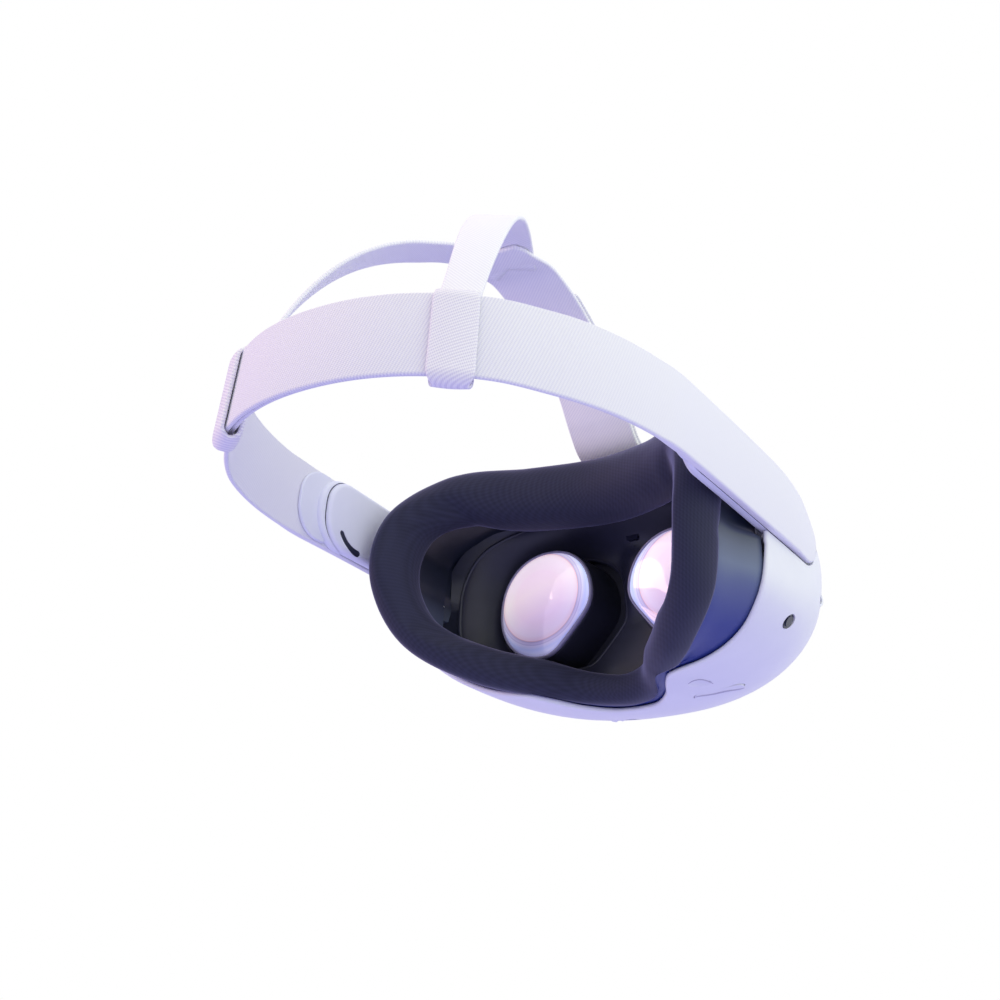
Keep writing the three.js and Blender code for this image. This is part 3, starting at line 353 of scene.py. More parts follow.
def slate(name):
    """Grey-blue satin plastic, with painted blue light that deepens it to blue towards its lower edge; it
    grows darker towards the top.
    """
    s = Shader(name)
    level = s.add(s.parts(s.coords())[2], s.times(s.noise(40.0), 0.004))
    share = s.node("MapRange", {"Value": level, "From Min": -0.040, "From Max": 0.022}).outputs[0]
    # Painted light: deep blue at the lower edge, lightest across the middle, darker towards the top.
    s.colour(share, [(0.0, (0.014, 0.030, 0.21)), (0.18, (0.020, 0.040, 0.23)), (0.34, (0.085, 0.110, 0.26)),
                     (0.5, (0.125, 0.160, 0.27)), (0.62, (0.085, 0.105, 0.18)),
                     (0.73, (0.022, 0.030, 0.06)), (1.0, (0.012, 0.017, 0.035))])
    s.gloss(0.34, 0.44, 180.0, 6.0)
    s.set(Coat_Weight=0.2, Coat_Roughness=0.3)
    s.bump(s.noise(2600.0, 3.0), 0.3, 0.00003)
    return s.material


def cloth_stripes(s, uv, pitch, degrees):
    """Round ribs at an angle to the cloth's length, as a height from 0 to 1."""
    split, a, turn = s.parts(uv), radians(degrees), 2 * pi / pitch
    return s.wave(s.add(s.times(split[0], sin(a) * turn), s.times(split[1], cos(a) * turn)))


def twill(name, valley, crest, pitch=1.15, degrees=68, depth=0.00013, cross=0.35, sheen=0.35, fade=None):
    """Woven band: diagonal ribs crossed by finer threads. Its cloth map is in millimetres."""
    s = Shader(name)
    uv = s.node("UVMap", uv_map="cloth").outputs[0]
    rib = cloth_stripes(s, uv, pitch, degrees)
    thread = cloth_stripes(s, uv, pitch * 0.62, degrees - 97)
    height = s.add(s.times(rib, 1 - cross), s.times(thread, cross))
    if fade:
        share = s.node("MapRange", {"Value": s.parts(uv)[0], "From Min": fade[0], "From Max": fade[1],
                                    "To Min": 0.12, "To Max": 1.0}).outputs[0]
        height = s.math("MULTIPLY_ADD", s.math("SUBTRACT", height, 0.7), share, 0.7)
    height = s.add(height, s.times(s.noise(900.0, 5.0), 0.08))
    s.colour(height, [(0.1, valley), (0.9, crest)])
    s.gloss(0.82, 0.95, 120.0)
    s.set(Sheen_Weight=sheen, Sheen_Roughness=0.4, Specular_IOR_Level=0.25)
    s.bump(height, 0.9, depth)
    return s.material


def knit(name):
    """Fine ribbed knit: upright ribs crossed by diagonal stitches, in the piece's own axes."""
    s = Shader(name)
    split = s.parts(s.coords())
    across = s.add(s.times(s.math("ABSOLUTE", split[0]), 0.86), s.times(split[1], -0.5))
    rib = s.wave(s.times(across, 2 * pi / 0.00135))
    stitch = s.wave(s.add(s.times(across, 2 * pi / 0.0021), s.times(split[2], 2 * pi / 0.0015)))
    height = s.add(s.times(rib, 0.4), s.times(stitch, 0.35))
    height = s.add(height, s.times(s.noise(1400.0, 4.0), 0.35))
    s.colour(height, [(0.1, (0.019, 0.020, 0.044)), (0.95, (0.028, 0.030, 0.066))])
    s.gloss(0.72, 0.9, 60.0)
    s.set(Sheen_Weight=0.5, Sheen_Roughness=0.35, Sheen_Tint=(0.62, 0.6, 0.95, 1), Specular_IOR_Level=0.3)
    s.bump(height, 0.5, 0.00006)
    return s.material


def lens_material(name, side):
    """Coated lens with painted light: a pink disc edged in warm light, which is the display seen through the
    glass painted on, inside a pale blue band that brightens to a painted highlight at its outer edge; a
    painted glow brightens towards the top.
    """
    s = Shader(name)
    split = s.parts(s.coords())
    dx = s.math("SUBTRACT", split[0], side * (LENS_X + 2.6) * MM)
    dz = s.math("SUBTRACT", split[2], 3.4 * MM)
    reach = s.math("SQRT", s.add(s.times(dx, dx), s.times(dz, dz)))
    share = s.math("DIVIDE", reach, 30 * MM)
    # Painted light: the disc is the display seen through the lens, and the band brightens to a painted
    # highlight at its outer edge.
    disc = [(0.0, (0.78, 0.64, 0.78)), (0.40, (0.80, 0.65, 0.78)), (0.60, (0.84, 0.74, 0.84)),
            (0.668, (0.84, 0.68, 0.76)), (0.676, (0.74, 0.46, 0.50))]
    band = [(0.684, (0.46, 0.42, 0.62)), (0.715, (0.62, 0.58, 0.78)), (0.73, (0.48, 0.46, 0.68)),
            (0.745, (0.68, 0.68, 0.86)), (0.80, (0.54, 0.63, 0.92)), (0.9, (0.78, 0.82, 1.0)),
            (1.0, (0.84, 0.88, 1.0))]
    tint = s.ramp(share, disc + band)
    # Painted glow: emitted light that brightens towards the top of each lens, though the lens is no lamp.
    slant, steep = 0.3, 32.0
    rise = s.math("MULTIPLY_ADD", s.math("MULTIPLY_ADD", split[0], slant, split[2]), steep,
                  0.5 - side * LENS_X * MM * slant * steep)
    painted_glow = s.ramp(rise, [(0.0, (0.10, 0.12, 0.16)), (0.33, (0.38, 0.44, 0.40)), (0.75, (0.74, 0.88, 0.60)),
                         (1.0, (0.82, 0.95, 0.72))])
    s.link(tint, "Base Color")
    s.link(s.node("VectorMath", {0: tint, 1: painted_glow}, operation="MULTIPLY").outputs[0], "Emission Color")
    s.gloss(0.05, 0.09, 90.0)
    s.set(Emission_Strength=1.0, Coat_Weight=1.0, Coat_Roughness=0.03, Specular_IOR_Level=0.6,
          Coat_Tint=(0.95, 0.85, 1.0, 1))
    return s.material


SHELL = plastic("shell_plastic", (0.76, 0.765, 0.85), (0.80, 0.805, 0.88), 0.42, coat=0.12)
ARM_INNER = plastic("arm_inner_plastic", (0.72, 0.73, 0.88), (0.78, 0.79, 0.92), 0.44, coat=0.1)
DARK = plastic("dark_plastic", (0.010, 0.011, 0.023), (0.017, 0.018, 0.036), 0.5)
DISH = plastic("dish_plastic", (0.017, 0.018, 0.040), (0.028, 0.029, 0.060), 0.42)
DISH_GLASS = plastic("dish_window", (0.015, 0.016, 0.036), (0.024, 0.025, 0.052), 0.3, depth=0.000002,
                     coat=0.2)
FLANGE = plastic("flange_plastic", (0.022, 0.025, 0.050), (0.034, 0.038, 0.070), 0.38)
# Darker than the shell: painted shade along the rocker's ridge and round the finger dip.
RIDGE_PAINTED_SHADE = plastic("ridge_painted_shade", (0.40, 0.38, 0.52), (0.48, 0.46, 0.60), 0.45)
# Slate plastic with painted blue light towards its lower edge.
SLATE_PAINTED_BLUE_LIGHT = slate("slate_painted_blue_light")
RIMRING = plastic("lens_rim_plastic", (0.20, 0.18, 0.32), (0.28, 0.26, 0.42), 0.25, coat=0.5)
GLASS = plastic("window_glass", (0.012, 0.015, 0.038), (0.020, 0.025, 0.060), 0.12, depth=0.000002, coat=0.3)
METAL = plastic("satin_metal", (0.50, 0.51, 0.53), (0.62, 0.62, 0.65), 0.34, metallic=1.0)
BOARD = plastic("board_mask", (0.01, 0.09, 0.05), (0.02, 0.14, 0.08), 0.4, coat=0.3)
PACK = plastic("pack_foil", (0.06, 0.065, 0.08), (0.10, 0.105, 0.12), 0.35, metallic=0.4)
KNIT = knit("cushion_knit")
TWILL = twill("strap_twill", (0.66, 0.65, 0.78), (0.80, 0.79, 0.88), depth=0.00008)
TWILL_INSIDE = twill("strap_twill_inside", (0.76, 0.75, 0.87), (0.88, 0.87, 0.94), pitch=1.15, degrees=50,
                     depth=0.00005, cross=0.4)
LENSES = {name: lens_material(f"lens_coating_painted_light_{name}", side) for name, side in SIDES}
BY_SLOT = {"shell": SHELL, "dark": DARK, "slate": SLATE_PAINTED_BLUE_LIGHT, "cushion": KNIT, "strap": TWILL, "glass": GLASS,
           "lens": RIMRING, "metal": METAL, "board": BOARD, "pack": PACK}

for entry in frame["record"]["subparts"]:
    # The audio jack and the IPD wheel take the white shell plastic instead of their slot's colour; in the
    # jack's hollow this white is painted light where shade would fall.
    light = entry["node"] in ("audio_jack", "ipd_wheel")
    mesh = NODES[entry["node"]].data
    mesh.materials.clear()
    mesh.materials.append(SHELL if light else BY_SLOT[entry["material_slot"]])

# ---- Visor shell ----


def signed_power(v, p):
    return copysign(abs(v) ** p, v)


def visor_point(angle, y, inset=0.0):
    depth = min(1.0, max(0.0, (WIDEST_Y - y) / (WIDEST_Y - FRONT_Y - inset)))
    plan = (1 - depth**PLAN_POWER) ** (1 / PLAN_POWER)
    profile = (1 - depth**PROFILE_POWER) ** (1 / PROFILE_POWER)
    c, s = cos(angle), sin(angle)
    tall = (TOP if s > 0 else BOTTOM) - inset
    z = tall * profile * signed_power(s, 2 / OUTLINE_POWER)
    under_arm = smooth((y + 46) / 34) * smooth((z + 21) / 18) * smooth((42 - z) / 10)
    wide = (HALF_WIDTH - inset) * (1 - 0.02 * under_arm)
    return wide * plan * signed_power(c, 2 / OUTLINE_POWER), y, z


def rim_y(angle):
    x, _, z = visor_point(angle, WIDEST_Y)
    return follow(RIM_TOP if z > 0 else RIM_BOTTOM, abs(x))


ANGLES, _ = even_spread(lambda a: visor_point(a, WIDEST_Y), 2 * pi, 4001, 320)


def pocket_outline(grow=0.0):
    """Side outline (y, z) of the recess that holds an arm; its lower edge runs along the arm."""
    y0, y1, z0, z1 = POCKET_FRONT - grow, 30, POCKET_BOTTOM - grow, POCKET_TOP + grow
    rise = 0.125
    outline = []
    for cy, cz, ry, rz, start in ((y1 - 1, z1 - 1, 1, 1, 0), (y0 + 40, z1 - 24, 40, 24, 90),
                                  (y0 + 9, z0 + 9, 9, 9, 180), (y1 - 1, z0 + 1, 1, 1, 270)):
        lift = rise * (cy - y0) if start >= 180 else 0
        outline += arc(cy, cz + lift, ry, rz, start, start + 90, 12)
    return outline


def pocket_block(name, side, inner, outer, grow=0.0):
    """The recess as a solid block between two distances to the side."""
    low, high = sorted((side * inner, side * outer))
    return prism(name, pocket_outline(grow), low, high, axis="X")


def arm_pocket(name, side):
    """Lined recess in the shell behind an arm's front end."""
    lining = pocket_block(f"arm_pocket_{name}", side, POCKET_FLOOR - 1.5, 110, 1.5)
    rows = [[visor_point(a, y, 0.5) for a in ANGLES] for y in np.linspace(-50, -7.6, 18)]
    rows += [[visor_point(a, lerp(-7.6, rim_y(a) - 1.2, i / 6), 0.5) for a in ANGLES] for i in range(1, 7)]
    boolean(lining, "INTERSECT", skin("inside", rows))
    cut(lining, pocket_block("tool", side, POCKET_FLOOR - 0.2, 112, 0.15))
    finish(lining, "visor", SHELL)


DIMPLE_AT = (-40.5, -26)


def under_shell(x, y):
    """Point and outward normal of the shell's underside at x, y."""
    def height(px, py):
        low, high = pi, 1.5 * pi
        for _ in range(40):
            middle = (low + high) / 2
            if visor_point(middle, py)[0] < px:
                low = middle
            else:
                high = middle
        return visor_point(low, py)[2]
    h = height(x, y)
    dx, dy = height(x + 0.2, y) - h, height(x, y + 0.2) - h
    return Vector((x, y, h)), Vector((dx, dy, -0.2)).normalized()


def finger_dimple():
    """Shallow oval dip with one crisp edge, to cut from the shell."""
    at, normal = under_shell(*DIMPLE_AT)
    along = Vector((-0.8, -0.6, 0.06))
    along = (along - normal * along.dot(normal)).normalized()
    across = normal.cross(along).normalized()
    tip = radians(11)
    lean = (normal * cos(tip) + across * sin(tip)).normalized()
    side = lean.cross(along).normalized()
    rows = []
    for i in range(25):
        v = radians(lerp(-89, 89, i / 24))
        rows.append([tuple(at + lean * 0.8 + along * (5.6 * cos(v) * cos(q))
                           + side * (3.6 * cos(v) * sin(q)) + lean * (1.8 * sin(v)))
                     for q in turns(48)])
    return skin("tool", rows)


def finger_dip_shadow_arc():
    """Fine raised arc round the dip, in a darker plastic that is a painted shadow line along the dip's edge.
    """
    start, pull, end = Vector((-37.1, -22.4)), Vector((-45.5, -17.4)), Vector((-44.2, -30.8))
    rows = []
    for i in range(41):
        t = i / 40
        on = start * (1 - t) ** 2 + pull * 2 * t * (1 - t) + end * t**2
        at, normal = under_shell(on.x, on.y)
        ahead = (pull - start) * (1 - t) + (end - pull) * t
        across = normal.cross(Vector((ahead.x, ahead.y, 0))).normalized()
        size = 0.05 + 0.33 * sin(pi * t) ** 0.5
        rows.append([tuple(at + across * size * cos(q) + normal * size * 0.8 * sin(q)) for q in turns(10)])
    finish(skin("finger_dip_shadow_line", rows), "visor", RIDGE_PAINTED_SHADE)


def rear_housing():
    """Shell from the joint with the front cover back to a round rim, with its openings cut."""
    joint, half_wall = SPLIT_Y + 0.12, WALL / 2
    rims = [rim_y(a) - half_wall for a in ANGLES]
    rows = []
    for i in range(34):
        share = (i / 33) ** 1.15
        rows.append([visor_point(a, lerp(joint, rim, share)) for a, rim in zip(ANGLES, rims)])
    for i in range(1, 8):
        turn = pi * i / 7
        inset = half_wall * (1 - cos(turn))
        rows.append([visor_point(a, rim + half_wall * sin(turn), inset) for a, rim in zip(ANGLES, rims)])
    for i in range(1, 9):
        rows.append([visor_point(a, lerp(rim, joint, i / 8), WALL) for a, rim in zip(ANGLES, rims)])
    shell = skin("rear_shell", rows, ring=True)
    tools = []
    for _, side in SIDES:
        tools.append(pocket_block("tool", side, POCKET_FLOOR, 110))
        at, d = Vector((83.7 * side, -24, -23.1)), Vector((0.86 * side, -0.12, -0.49))
        tools.append(rod("tool", at - d * 7, at + d * 6, 3.45))
        tools.append(rod("tool", at + d * 0.6, at + d * 3.6, 2.6, end_radius=6.0))
    jack = rod("tool", (-72, -48, -6), (-100, -48, -6), 1.9)
    port = prism("tool", rounded(-40, -8, 12.7, 5.7, 2.7), 70, 100, axis="X")
    wheel_slot = prism("tool", [(11.4, -59.8), (32.6, -59.8), (32.6, -55.2), (11.4, -55.2)], -52, -34, "Z")
    vent = prism("tool", [(-13, -53), (13, -53), (13, -45.5), (-13, -45.5)], 44, 53, "Z")
    button = prism("tool", rounded(0, 0, 11.5, 5.1, 2.4), -8, 5)
    button.data.transform(Matrix.Translation((0.0832, -0.0515, 0.008))
                          @ Matrix.Rotation(pi / 2 + atan2(-0.3676, 0.93), 4, "Z"))
    mic = Vector(visor_point(radians(282.9), -18))
    mic_hole = rod("tool", mic + Vector((0, 0, -3)), mic + Vector((0, 0, 5)), 0.6)
    cut(shell, *tools, jack, port, wheel_slot, vent, button, rocker_prism("tool", 0.3, -9, 7),
        finger_dimple(), mic_hole)
    finish(shell, "visor", SHELL, ["rear_housing"])


def front_cover():
    """Domed cover, closed at the front, with its two windows and the status light cut."""
    rows = []
    stations = [sin(radians(90 * t)) for t in np.linspace(0.52, 0.985, 34)]
    first = (WIDEST_Y - SPLIT_Y) / (WIDEST_Y - FRONT_Y)
    depths = [lerp(first, 1.0, (d - stations[0]) / (1 - stations[0])) for d in stations]
    for inset, order in ((0.0, depths), (WALL, depths[::-1])):
        for d in order:
            y = WIDEST_Y - d * (WIDEST_Y - FRONT_Y - inset)
            rows.append([visor_point(a, min(y, SPLIT_Y - 0.12), inset) for a in ANGLES])
    half, n = len(depths), len(ANGLES)
    points, faces = flat(rows), grid_faces(2 * half, n, ring=True)
    del faces[(half - 1) * n:half * n]
    for row, y in ((half - 1, FRONT_Y), (half, FRONT_Y + WALL)):
        points.append((0, y, 0))
        faces += [(row * n + j, row * n + (j + 1) % n, len(points) - 1) for j in range(n)]
    cover = mesh_from("front_shell", points, faces)
    windows = [prism("tool", rounded(side * 30, 15, 18, 24, 8), -92, -60) for _, side in SIDES]
    cut(cover, *windows, rod("tool", (0, -90, -31), (0, -60, -31), 1.45))
    finish(cover, "visor", SHELL, ["front_cover"])


ROCKER_AT = (-40.4, -41.5, -41.8)
ROCKER_HEADING, ROCKER_LEAN = 14, 11


def rocker_placed(obj):
    obj.data.transform(Matrix.Translation(Vector(ROCKER_AT) * MM)
                       @ Matrix.Rotation(radians(ROCKER_LEAN), 4, "Y")
                       @ Matrix.Rotation(radians(ROCKER_HEADING), 4, "Z"))
    return obj


def rocker_prism(name, grow, low, high):
    """Pill prism, low to high below the rocker's reference point."""
    outline = rounded(0, 0, 22 + 2 * grow, 6.4 + 2 * grow, 3.2 + grow - 0.01)
    return rocker_placed(prism(name, outline, -high, -low, axis="Z"))


def volume_rocker():
    """Flush pill that follows the shell, with a slim raised ridge bent at its ends; the ridge's darker
    plastic is painted shade.
    """
    rows = []
    for i in range(41):
        u = lerp(-11, 11, i / 40)
        half = 3.2 * sqrt(max(0.0, 1 - max(0.0, abs(u) - 7.8) ** 2 / 10.24)) + 0.02
        row = [(u, lerp(-half, half, k / 13), -0.72) for k in range(14)]
        row += [(u, lerp(half, -half, k / 5), 2.4) for k in range(6)]
        rows.append(row)
    finish(sharpen(rocker_placed(skin("volume_key", rows))), "volume_key", SHELL, ["volume_rocker"])
    ridge = []
    for i in range(49):
        t = i / 48
        u = lerp(-10.6, 10.6, t)
        v = 1.5 * sin((t - 0.5) * pi * 1.1) ** 3
        size = 0.62 * sin(pi * t * 0.98 + 0.03) ** 0.3
        ridge.append([(u, v + size * cos(q), -0.62 - size * 0.8 * sin(q)) for q in turns(12)])
    finish(rocker_placed(skin("volume_key_ridge", ridge)), "volume_key", RIDGE_PAINTED_SHADE)


rear_housing()
front_cover()
volume_rocker()
finger_dip_shadow_arc()
for side_name, side_sign in SIDES:
    arm_pocket(side_name, side_sign)

# ---- Cushion, wall and eye plate ----

FULL_RING = RING + [(-x, *rest) for x, *rest in RING[-2:0:-1]]


def ring_place(share):
    """The four ring points about a share 0 to 1 of the ring, and how far on it is between the middle two."""
    n = len(FULL_RING)
    at = (share % 1.0) * n
    i = int(at)
    return [FULL_RING[(i + k) % n] for k in (-1, 0, 1, 2)], at - i


def ring_at(share):
    near, t = ring_place(share)
    return spline(*(Vector(p[:3]) for p in near), t)[0]


def ring_sizes(share):
    """Half the ring's width and half its depth."""
    near, t = ring_place(share)
    return [follow([(k - 1, p[c]) for k, p in enumerate(near)], t) for c in (3, 4)]


class RingFrame:
    """One place on the ring: its point, outward direction, sizes, and where the wall's front edge lies."""

    def __init__(self, share):
        self.p = ring_at(share)
        tangent = ring_at(share + 0.001) - ring_at(share - 0.001)
        self.out = Vector((-tangent.z, 0, tangent.x)).normalized()
        if self.out.dot(Vector((self.p.x, 0, self.p.z))) < 0:
            self.out.negate()
        self.across, self.depth = ring_sizes(share)
        tall = TOP if self.p.z > 0 else BOTTOM
        polar = atan2(self.p.z / tall, self.p.x / HALF_WIDTH)
        k = OUTLINE_POWER / 2
        self.angle = atan2(signed_power(sin(polar), k), signed_power(cos(polar), k))
        self.front_y = max(self.p.y - self.depth * 0.62, rim_y(self.angle) + 1.6)


SHARES, RING_LENGTH = even_spread(ring_at, 1, 2001, 260)
FRAMES = [RingFrame(share) for share in SHARES]


def wall_frame(f):
    rim = rim_y(f.angle)
    reach = lerp(7.5, 14, smooth(abs(f.p.x) / 40)) if f.p.z < 0 else 14
    points = []
    for y, limit, start in ((rim - reach, POCKET_FLOOR - 2.6, -9), (rim + 0.3, POCKET_FLOOR - 0.2, 0.6)):
        x, y, z = visor_point(f.angle, y, WALL + 0.4)
        limit = lerp(HALF_WIDTH, limit, smooth((z - start) / 6))
        points.append(Vector((copysign(min(abs(x), limit), x), y, z)))
    rear = f.p + f.out * f.across * 0.80
    rear.y = f.front_y + 1.5
    crowded = 1 - smooth((rear.y - rim - 3.5) / 6)
    narrow = min(1, hypot(points[1].x, points[1].z) / hypot(rear.x, rear.z))
    shrink = lerp(1, narrow, crowded)
    rear.x *= shrink
    rear.z *= shrink
    return points[0], points[1], rear


def inward(p, amount):
    return p - Vector((p.x, 0, p.z)).normalized() * amount


def lining(p, amount):
    """Inner face of the wall, kept clear of the arm pockets on both sides."""
    q = inward(p, amount)
    limit = POCKET_FLOOR - 3.2
    q.x = copysign(-log(exp(-abs(q.x)) + exp(-limit)), q.x)
    return q


def interface_wall():
    columns = []
    for f in FRAMES:
        inside, at_rim, rear = wall_frame(f)
        column = [inside, lerp(inside, at_rim, 0.5), lerp(inside, at_rim, 0.85)]
        for t in np.linspace(0, 1, 9):
            p = lerp(at_rim, rear, float(t))
            column.append(inward(p, 0.9 * sin(pi * t) ** 2))
        lip = rear - f.out * 5
        column += [lip, lip + Vector((0, -1.8, 0))]
        step = lerp(at_rim, inside, lerp(0.97, 0.5, smooth((abs(f.p.x) - 45) / 15)))
        column += [lining(at_rim, 2.4), lining(step, 2.4), inward(step, 1.0), inward(inside, 1.0)]
        columns.append([tuple(p) for p in column])
    wall = sharpen(skin("interface_wall", columns, ring=True), 50)
    finish(wall, "face_interface", SLATE_PAINTED_BLUE_LIGHT, ["interface_frame"])


def face_cushion():
    rows, marks = [], []
    sides = 44
    for i, f in enumerate(FRAMES):
        row = []
        for a in turns(sides):
            c, s = cos(a), sin(a)
            temple = smooth((abs(f.p.x) - 45) / 15) if c < 0 else 0
            power = lerp(2.25, 1.35, temple) if s > 0 else 2.25
            r = (abs(c) ** power + abs(s) ** power) ** (-1 / power)
            across = f.across * (0.985 - 0.08 * temple)
            p = f.p + f.out * (r * c * across) + Vector((0, r * s * f.depth * 0.985, 0))
            soft = p.y - f.front_y
            if soft < 2.0:
                p.y = f.front_y + 2.0 * exp((soft - 2.0) / 2.0)
            row.append(tuple(p))
        rows.append(row)
        marks.append([(RING_LENGTH * i / len(FRAMES), k) for k in range(sides)])
    cushion = skin("cushion_roll", rows, ring=True)
    plump(cushion, 1.0)
    finish(cushion, "face_interface", KNIT, ["face_cushion"])


def plump(obj, cap):
    """Cloth simulation of padding under pressure, on an even copy of the form. The form's own points
    then follow the copy, none by more than cap millimetres."""
    copy = obj.copy()
    copy.data = obj.data.copy()
    SCENE.collection.objects.link(copy)
    even = copy.modifiers.new("even", "REMESH")
    even.mode, even.voxel_size = "VOXEL", 4 * MM
    bake(copy)
    start = [v.co.copy() for v in copy.data.vertices]
    cloth = copy.modifiers.new("cloth", "CLOTH").settings
    cloth.use_pressure = True
    cloth.uniform_pressure_force = 12
    cloth.effector_weights.gravity = 0
    for frame_number in range(1, 21):
        SCENE.frame_set(frame_number)
    bake(copy)
    near = KDTree(len(start))
    for i, origin in enumerate(start):
        near.insert(origin, i)
    near.balance()
    moves = [v.co - origin for v, origin in zip(copy.data.vertices, start)]
    for vertex in obj.data.vertices:
        found = [(i, 1 / (distance + 0.5 * MM)) for _, i, distance in near.find_n(vertex.co, 6)]
        move = sum((moves[i] * weight for i, weight in found), Vector()) / sum(w for _, w in found)
        vertex.co += move * min(1, cap * MM / max(move.length, 1e-9))
    bpy.data.objects.remove(copy)
    SCENE.frame_set(1)


def lens_outline(grow, n=96):
    """Nearly round outline of a lens, flattened on the side towards the nose."""
    out = []
    for a in turns(n):
        c, s = cos(a), sin(a)
        r = ((abs(c) / (LENS_W + grow)) ** LENS_POWER
             + (abs(s) / (LENS_H + grow)) ** LENS_POWER) ** (-1 / LENS_POWER)
        facing = cos(a - radians(LENS_CUT_ANGLE))
        chord = (LENS_CUT + grow) / facing if facing > 0.05 else 1e6
        r = (r**-14 + chord**-14) ** (-1 / 14)
        out.append((r * c, r * s))
    return out


DISH_HALF, DISH_UP, DISH_DOWN, DISH_POWER = 75.4, 43.2, 40.6, 2.5


def dish_share(x, z):
    """0 in the middle of the dish and 1 on its edge."""
    tall = DISH_UP if z > 0 else DISH_DOWN
    return ((abs(x) / DISH_HALF) ** DISH_POWER + (abs(z) / tall) ** DISH_POWER) ** (1 / DISH_POWER)


def dish_depth(x, z):
    """Depth of the dish, deep in the middle and rising to its edge, low at the nose."""
    lip = lerp(-22, -8, smooth((abs(x) - 30) / 40))
    nose = smooth((26 - abs(x)) / 22) * smooth((-z - 6) / 22)
    rise = smooth((dish_share(x, z) - 0.52) / 0.5) ** 1.25
    bridge = 7.0 * smooth(1 - abs(x) / 10) * smooth((z + 8) / 14) * smooth((34 - z) / 12)
    return lerp(-36.5, lerp(lip, -37.5, nose), rise) + bridge * 0.6


def lens_hole(side):
    """Outline of the opening round a lens, with room for it to slide."""
    out = []
    for x, z in lens_outline(2.3, 180):
        stretch = 2.0 if x > 0 else -4.5
        out.append((side * (LENS_X + x + stretch * smooth(abs(x) / 8)), z))
    return out


def eye_dish():
    """Dish round both lenses; it runs on between them and down to the nose."""
    count, n = 61, 200
    points = []
    for i in range(count):
        scale = (i / (count - 1)) ** 0.8
        for a in turns(n):
            c, s = signed_power(cos(a), 2 / DISH_POWER), signed_power(sin(a), 2 / DISH_POWER)
            x, z = DISH_HALF * c * scale, (DISH_UP if s > 0 else DISH_DOWN) * s * scale
            points.append((x, dish_depth(x, z), z))
    plate = mesh_from("eye_dish", points, grid_faces(count, n))
    bm = bmesh.new()
    bm.from_mesh(plate.data)
    bmesh.ops.remove_doubles(bm, verts=bm.verts, dist=1e-6)
    bm.to_mesh(plate.data)
    bm.free()
    thick = plate.modifiers.new("thick", "SOLIDIFY")
    thick.thickness, thick.offset = 1.4 * MM, 0
    cut(plate, *[prism("tool", lens_hole(side), -60, 0) for _, side in SIDES])
    finish(plate, "visor", DISH, ["eye_plate"])


def dish_lip(name, side):
    """Round lip along the opening of a lens."""
    outline, rows = lens_hole(side), []
    for i, (x, z) in enumerate(outline):
        before, after = outline[i - 1], outline[(i + 1) % len(outline)]
        out = Vector((after[1] - before[1], 0, before[0] - after[0])).normalized() * side
        y = sum(dish_depth(x + out.x * k, z + out.z * k) for k in (-1, 0, 1, 2)) / 4
        rows.append([(x + out.x * (0.5 + 0.95 * cos(q)), y + 0.95 * sin(q), z + out.z * (0.5 + 0.95 * cos(q)))
                     for q in turns(14)])
    finish(skin(f"dish_lip_{name}", rows, ring=True), "visor", DISH)


def dish_flange():
    """Rolled flange from the edge of the dish out to the wall."""
    section = ((-1.6, -2.0), (-1.5, -0.2), (-1.0, 0.75), (-0.4, 1.15), (0.3, 1.05), (0.9, 0.3), (1.4, 0.05))
    columns = []
    for f in FRAMES:
        aside = smooth((abs(f.p.x) - 45) / 15)
        outer = inward(wall_frame(f)[1], lerp(3.2, 1.7, aside))
        share = dish_share(outer.x, outer.z)
        inner = Vector((outer.x / share, 0, outer.z / share))
        y = dish_depth(inner.x * 0.999, inner.z * 0.999)
        out = (outer - inner).normalized() if share > 1.02 else inner.normalized()
        wide = max(0.6, hypot(outer.x - inner.x, outer.z - inner.z)) if share > 1 else 0.6
        column = []
        for reach, rise in (*section, (wide, 3.0 * aside), (wide, -1.4), (0, -1.6)):
            reach = min(reach, wide)
            column.append((inner.x + out.x * reach, y + rise, inner.z + out.z * reach))
        columns.append(column)
    flange = skin("eye_dish_flange", columns, ring=True)
    finish(sharpen(flange, 50), "visor", FLANGE)


def sensor_window():
    height = 31.6
    y = dish_depth(0, height)
    sensor = prism("sensor_window", rounded(0, height, 6.2, 4.2, 1.4), y - 3, y + 1.2)
    finish(sharpen(sensor), "visor", DISH_GLASS, ["proximity_sensor"])


def lens_set(name, side):
    """Barrel, collar, rim and glass of one lens."""
    body = f"lens_cell_{name}"

    def ring(grow, y, scale=1.0):
        return [(side * (LENS_X + x * scale), y, z * scale) for x, z in lens_outline(grow)]

    barrel_rows = [ring(1.3, -46), ring(1.3, -40), ring(1.35, -30), ring(1.35, -20), ring(1.3, -17.6),
                   ring(1.05, -16.9), ring(0.5, -16.6), ring(0.0, -17.2), ring(-1.2, -20.6), ring(-1.2, -46)]
    barrel = sharpen(skin(f"barrel_tube_{name}", barrel_rows, ring=True), 60)
    finish(barrel, body, DARK, [f"lens_barrel_{name}"])
    deep = -38.2 if side > 0 else -39.4
    collar = skin(f"barrel_collar_{name}", [ring(0.9, deep), ring(6.4, deep), ring(6.4, deep - 0.8),
                                            ring(0.9, deep - 0.8)], ring=True)
    finish(sharpen(collar), body, DARK)
    rim_rows = [ring(0.62 + 0.72 * cos(a), -15.9 + 1.25 * sin(a)) for a in turns(16)]
    finish(skin(f"lens_rim_{name}", rim_rows, ring=True), body, RIMRING)
    crown = [ring(0, LENS_Y - 5.4), ring(0.1, LENS_Y - 2.6), ring(0.1, LENS_Y - 1.5)]
    for k in range(1, 25):
        scale = 1 - k / 24.6
        crown.append(ring(0.1, LENS_Y - 1.3 + 2.2 * (1 - scale**2.2), scale))
    finish(skin(f"lens_glass_{name}", crown), body, LENSES[name], [f"lens_{name}"])


